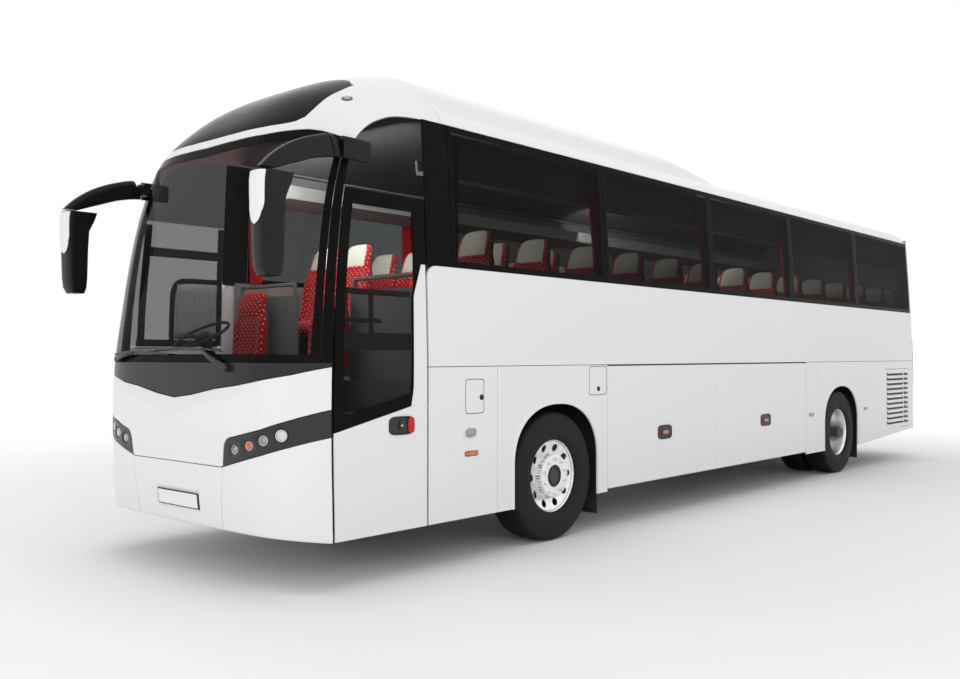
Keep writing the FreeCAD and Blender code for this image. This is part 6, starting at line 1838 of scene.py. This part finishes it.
for number, y in enumerate((-4.065, 1.992, 3.770, 5.405)):
    on_door = SERVICE_FRONT_Y < y < SERVICE_REAR_Y
    base = side_oval(y, 0.780, 0.072, 0.020, marker_base, 5.0)
    window = side_oval(y, 0.780, 0.068, 0.0165, marker_lens, 3.0)
    pair(f"side_marker_{number + 1}_{{}}", [base, (window, 1)], [satin_black, marker_orange],
         "lamp_lens", body="service_door_{}" if on_door else "coach_body", sharp=35.0)
repeater_rim = [(1.0, -0.004), (1.0, 0.004), (0.93, 0.007), (0.84, 0.006)]
repeater_lens = [(1.0, 0.006), (0.7, 0.011), (0.0, 0.012)]
pair("repeater_{}", [side_oval(-4.078, 0.930, 0.072, 0.042, repeater_rim, 2.4),
                     (side_oval(-4.078, 0.930, 0.056, 0.030, repeater_lens, 2.4), 1)],
     [chrome, lamp_finish["clear"]], "lamp_lens", sharp=35.0)


def flap_outline(y0, y1, z0, z1):
    """Painted shadow of a small flap's gap: a thin band along a rectangle with rounded corners."""
    across, rise = squared(np.linspace(0.0, 2 * math.pi, 73), 0.18)
    inset = np.array([[0.0], [0.0050]])
    return side_grid((y0 + y1) / 2 + ((y1 - y0) / 2 - inset) * across,
                     (z0 + z1) / 2 + ((z1 - z0) / 2 - inset) * rise, -0.0004)


# The key flap outlines are painted shadow of the gaps round them; the raised key discs are black.
key_disc = [(1.0, -0.002), (1.0, 0.002), (0.8, 0.003), (0.0, 0.003)]
pair("key_flaps_{}", [flap_outline(-4.131, -3.929, 1.066, 1.319),
                      flap_outline(-2.596, -2.339, 1.154, 1.400),
                      side_oval(-3.956, 1.183, 0.021, 0.021, key_disc),
                      side_oval(-2.459, 1.207, 0.021, 0.021, key_disc)],
     rubber("seam_black", 18, 0.7), "dark_trim", sharp=35.0)

# Service door louvres. Eleven pressed slots in two columns let air out of the engine bay; each
# slot is a flat dark oval under its hood, painted shade for the opening.
LOUVRE_PITCH = 0.0685
slot_profile = [(1.0, 0.0008), (0.97, 0.0012), (0.0, 0.0012)]
hood_part = ladder(0.0, 1.0, 7)
louvres = []
for z in 0.545 + LOUVRE_PITCH * np.arange(11):
    for y0, y1 in ((4.590, 5.270), (5.300, 5.462)):
        hood = side_grid(np.linspace(y0, y1, 12), z + 0.004 + 0.026 * hood_part)
        hood[..., 0] += 0.012 * np.cos(hood_part * math.pi * 0.5)
        louvres += [(side_oval((y0 + y1) / 2, z - 0.007, (y1 - y0) / 2, 0.020, slot_profile,
                               12.0, 40), 1), hood]
# The dark finish of the slots is painted shade for their openings.
pair("service_louvres_{}", louvres, [white_paint, rubber("louvre_black", 34, 0.6)], "white_paint",
     body="service_door_{}", sharp=60.0)

# Tail lamps. Upright clusters wrap round both rear corners, red above and orange below clear.
cluster_columns = np.linspace(LAMP_IN / HALF_W + 0.002, 0.9985, 14)
cluster_spans = [(LAMP_LOW_Z + 0.004, 1.225, 1), (1.229, 1.375, 2), (1.379, LAMP_HIGH_Z - 0.004, 0)]
pair("tail_cluster_{}", [(tail.sheet(cluster_columns, rear_rows(low, high, 9), 0.006), number)
                         for low, high, number in cluster_spans],
     [lens("red_lens", tone(150, 12, 14), 0.05, 0.1), marker_orange, lamp_finish["clear"]],
     "red_lens", ("tail_lamps",), 0.012, 0.0015)

# Roof marker. A small clear lamp in a black rim sits on each shoulder of the dome.
marker_axes = front_frame(0.973, 3.251)
marker_dome = [(0.030, -0.002), (0.029, 0.006), (0.022, 0.010), (0.0, 0.012)]
marker_rim = [(0.038, -0.002), (0.038, 0.003), (0.034, 0.005), (0.030, 0.003)]
pair("roof_marker_{}", [round_form(marker_axes, marker_dome),
                        (round_form(marker_axes, marker_rim), 1)],
     [lamp_finish["clear"], satin_black], "lamp_lens", sharp=40.0)

# Rear number plate and engine door handle, in the same finishes as the front ones.
REAR_PLATE_HALF = 0.26 / HALF_W
piece("rear_plate_holder", [rear_patch(REAR_PLATE_HALF * 1.04, 1.578, 1.707, 12, 3, 0.003)],
      trim_black, "dark_trim", (), 0.004, 0.001)
piece("rear_number_plate", [rear_patch(REAR_PLATE_HALF, 1.585, 1.700, 12, 3, 0.006)],
      plate_paint, "white_paint", (), 0.003, 0.001)
piece("engine_door_handle", [rear_patch(0.13 / HALF_W, 0.700, 0.742, 14, 5, 0.006)],
      satin_black, "dark_trim", (), 0.008, 0.004, body="engine_door")
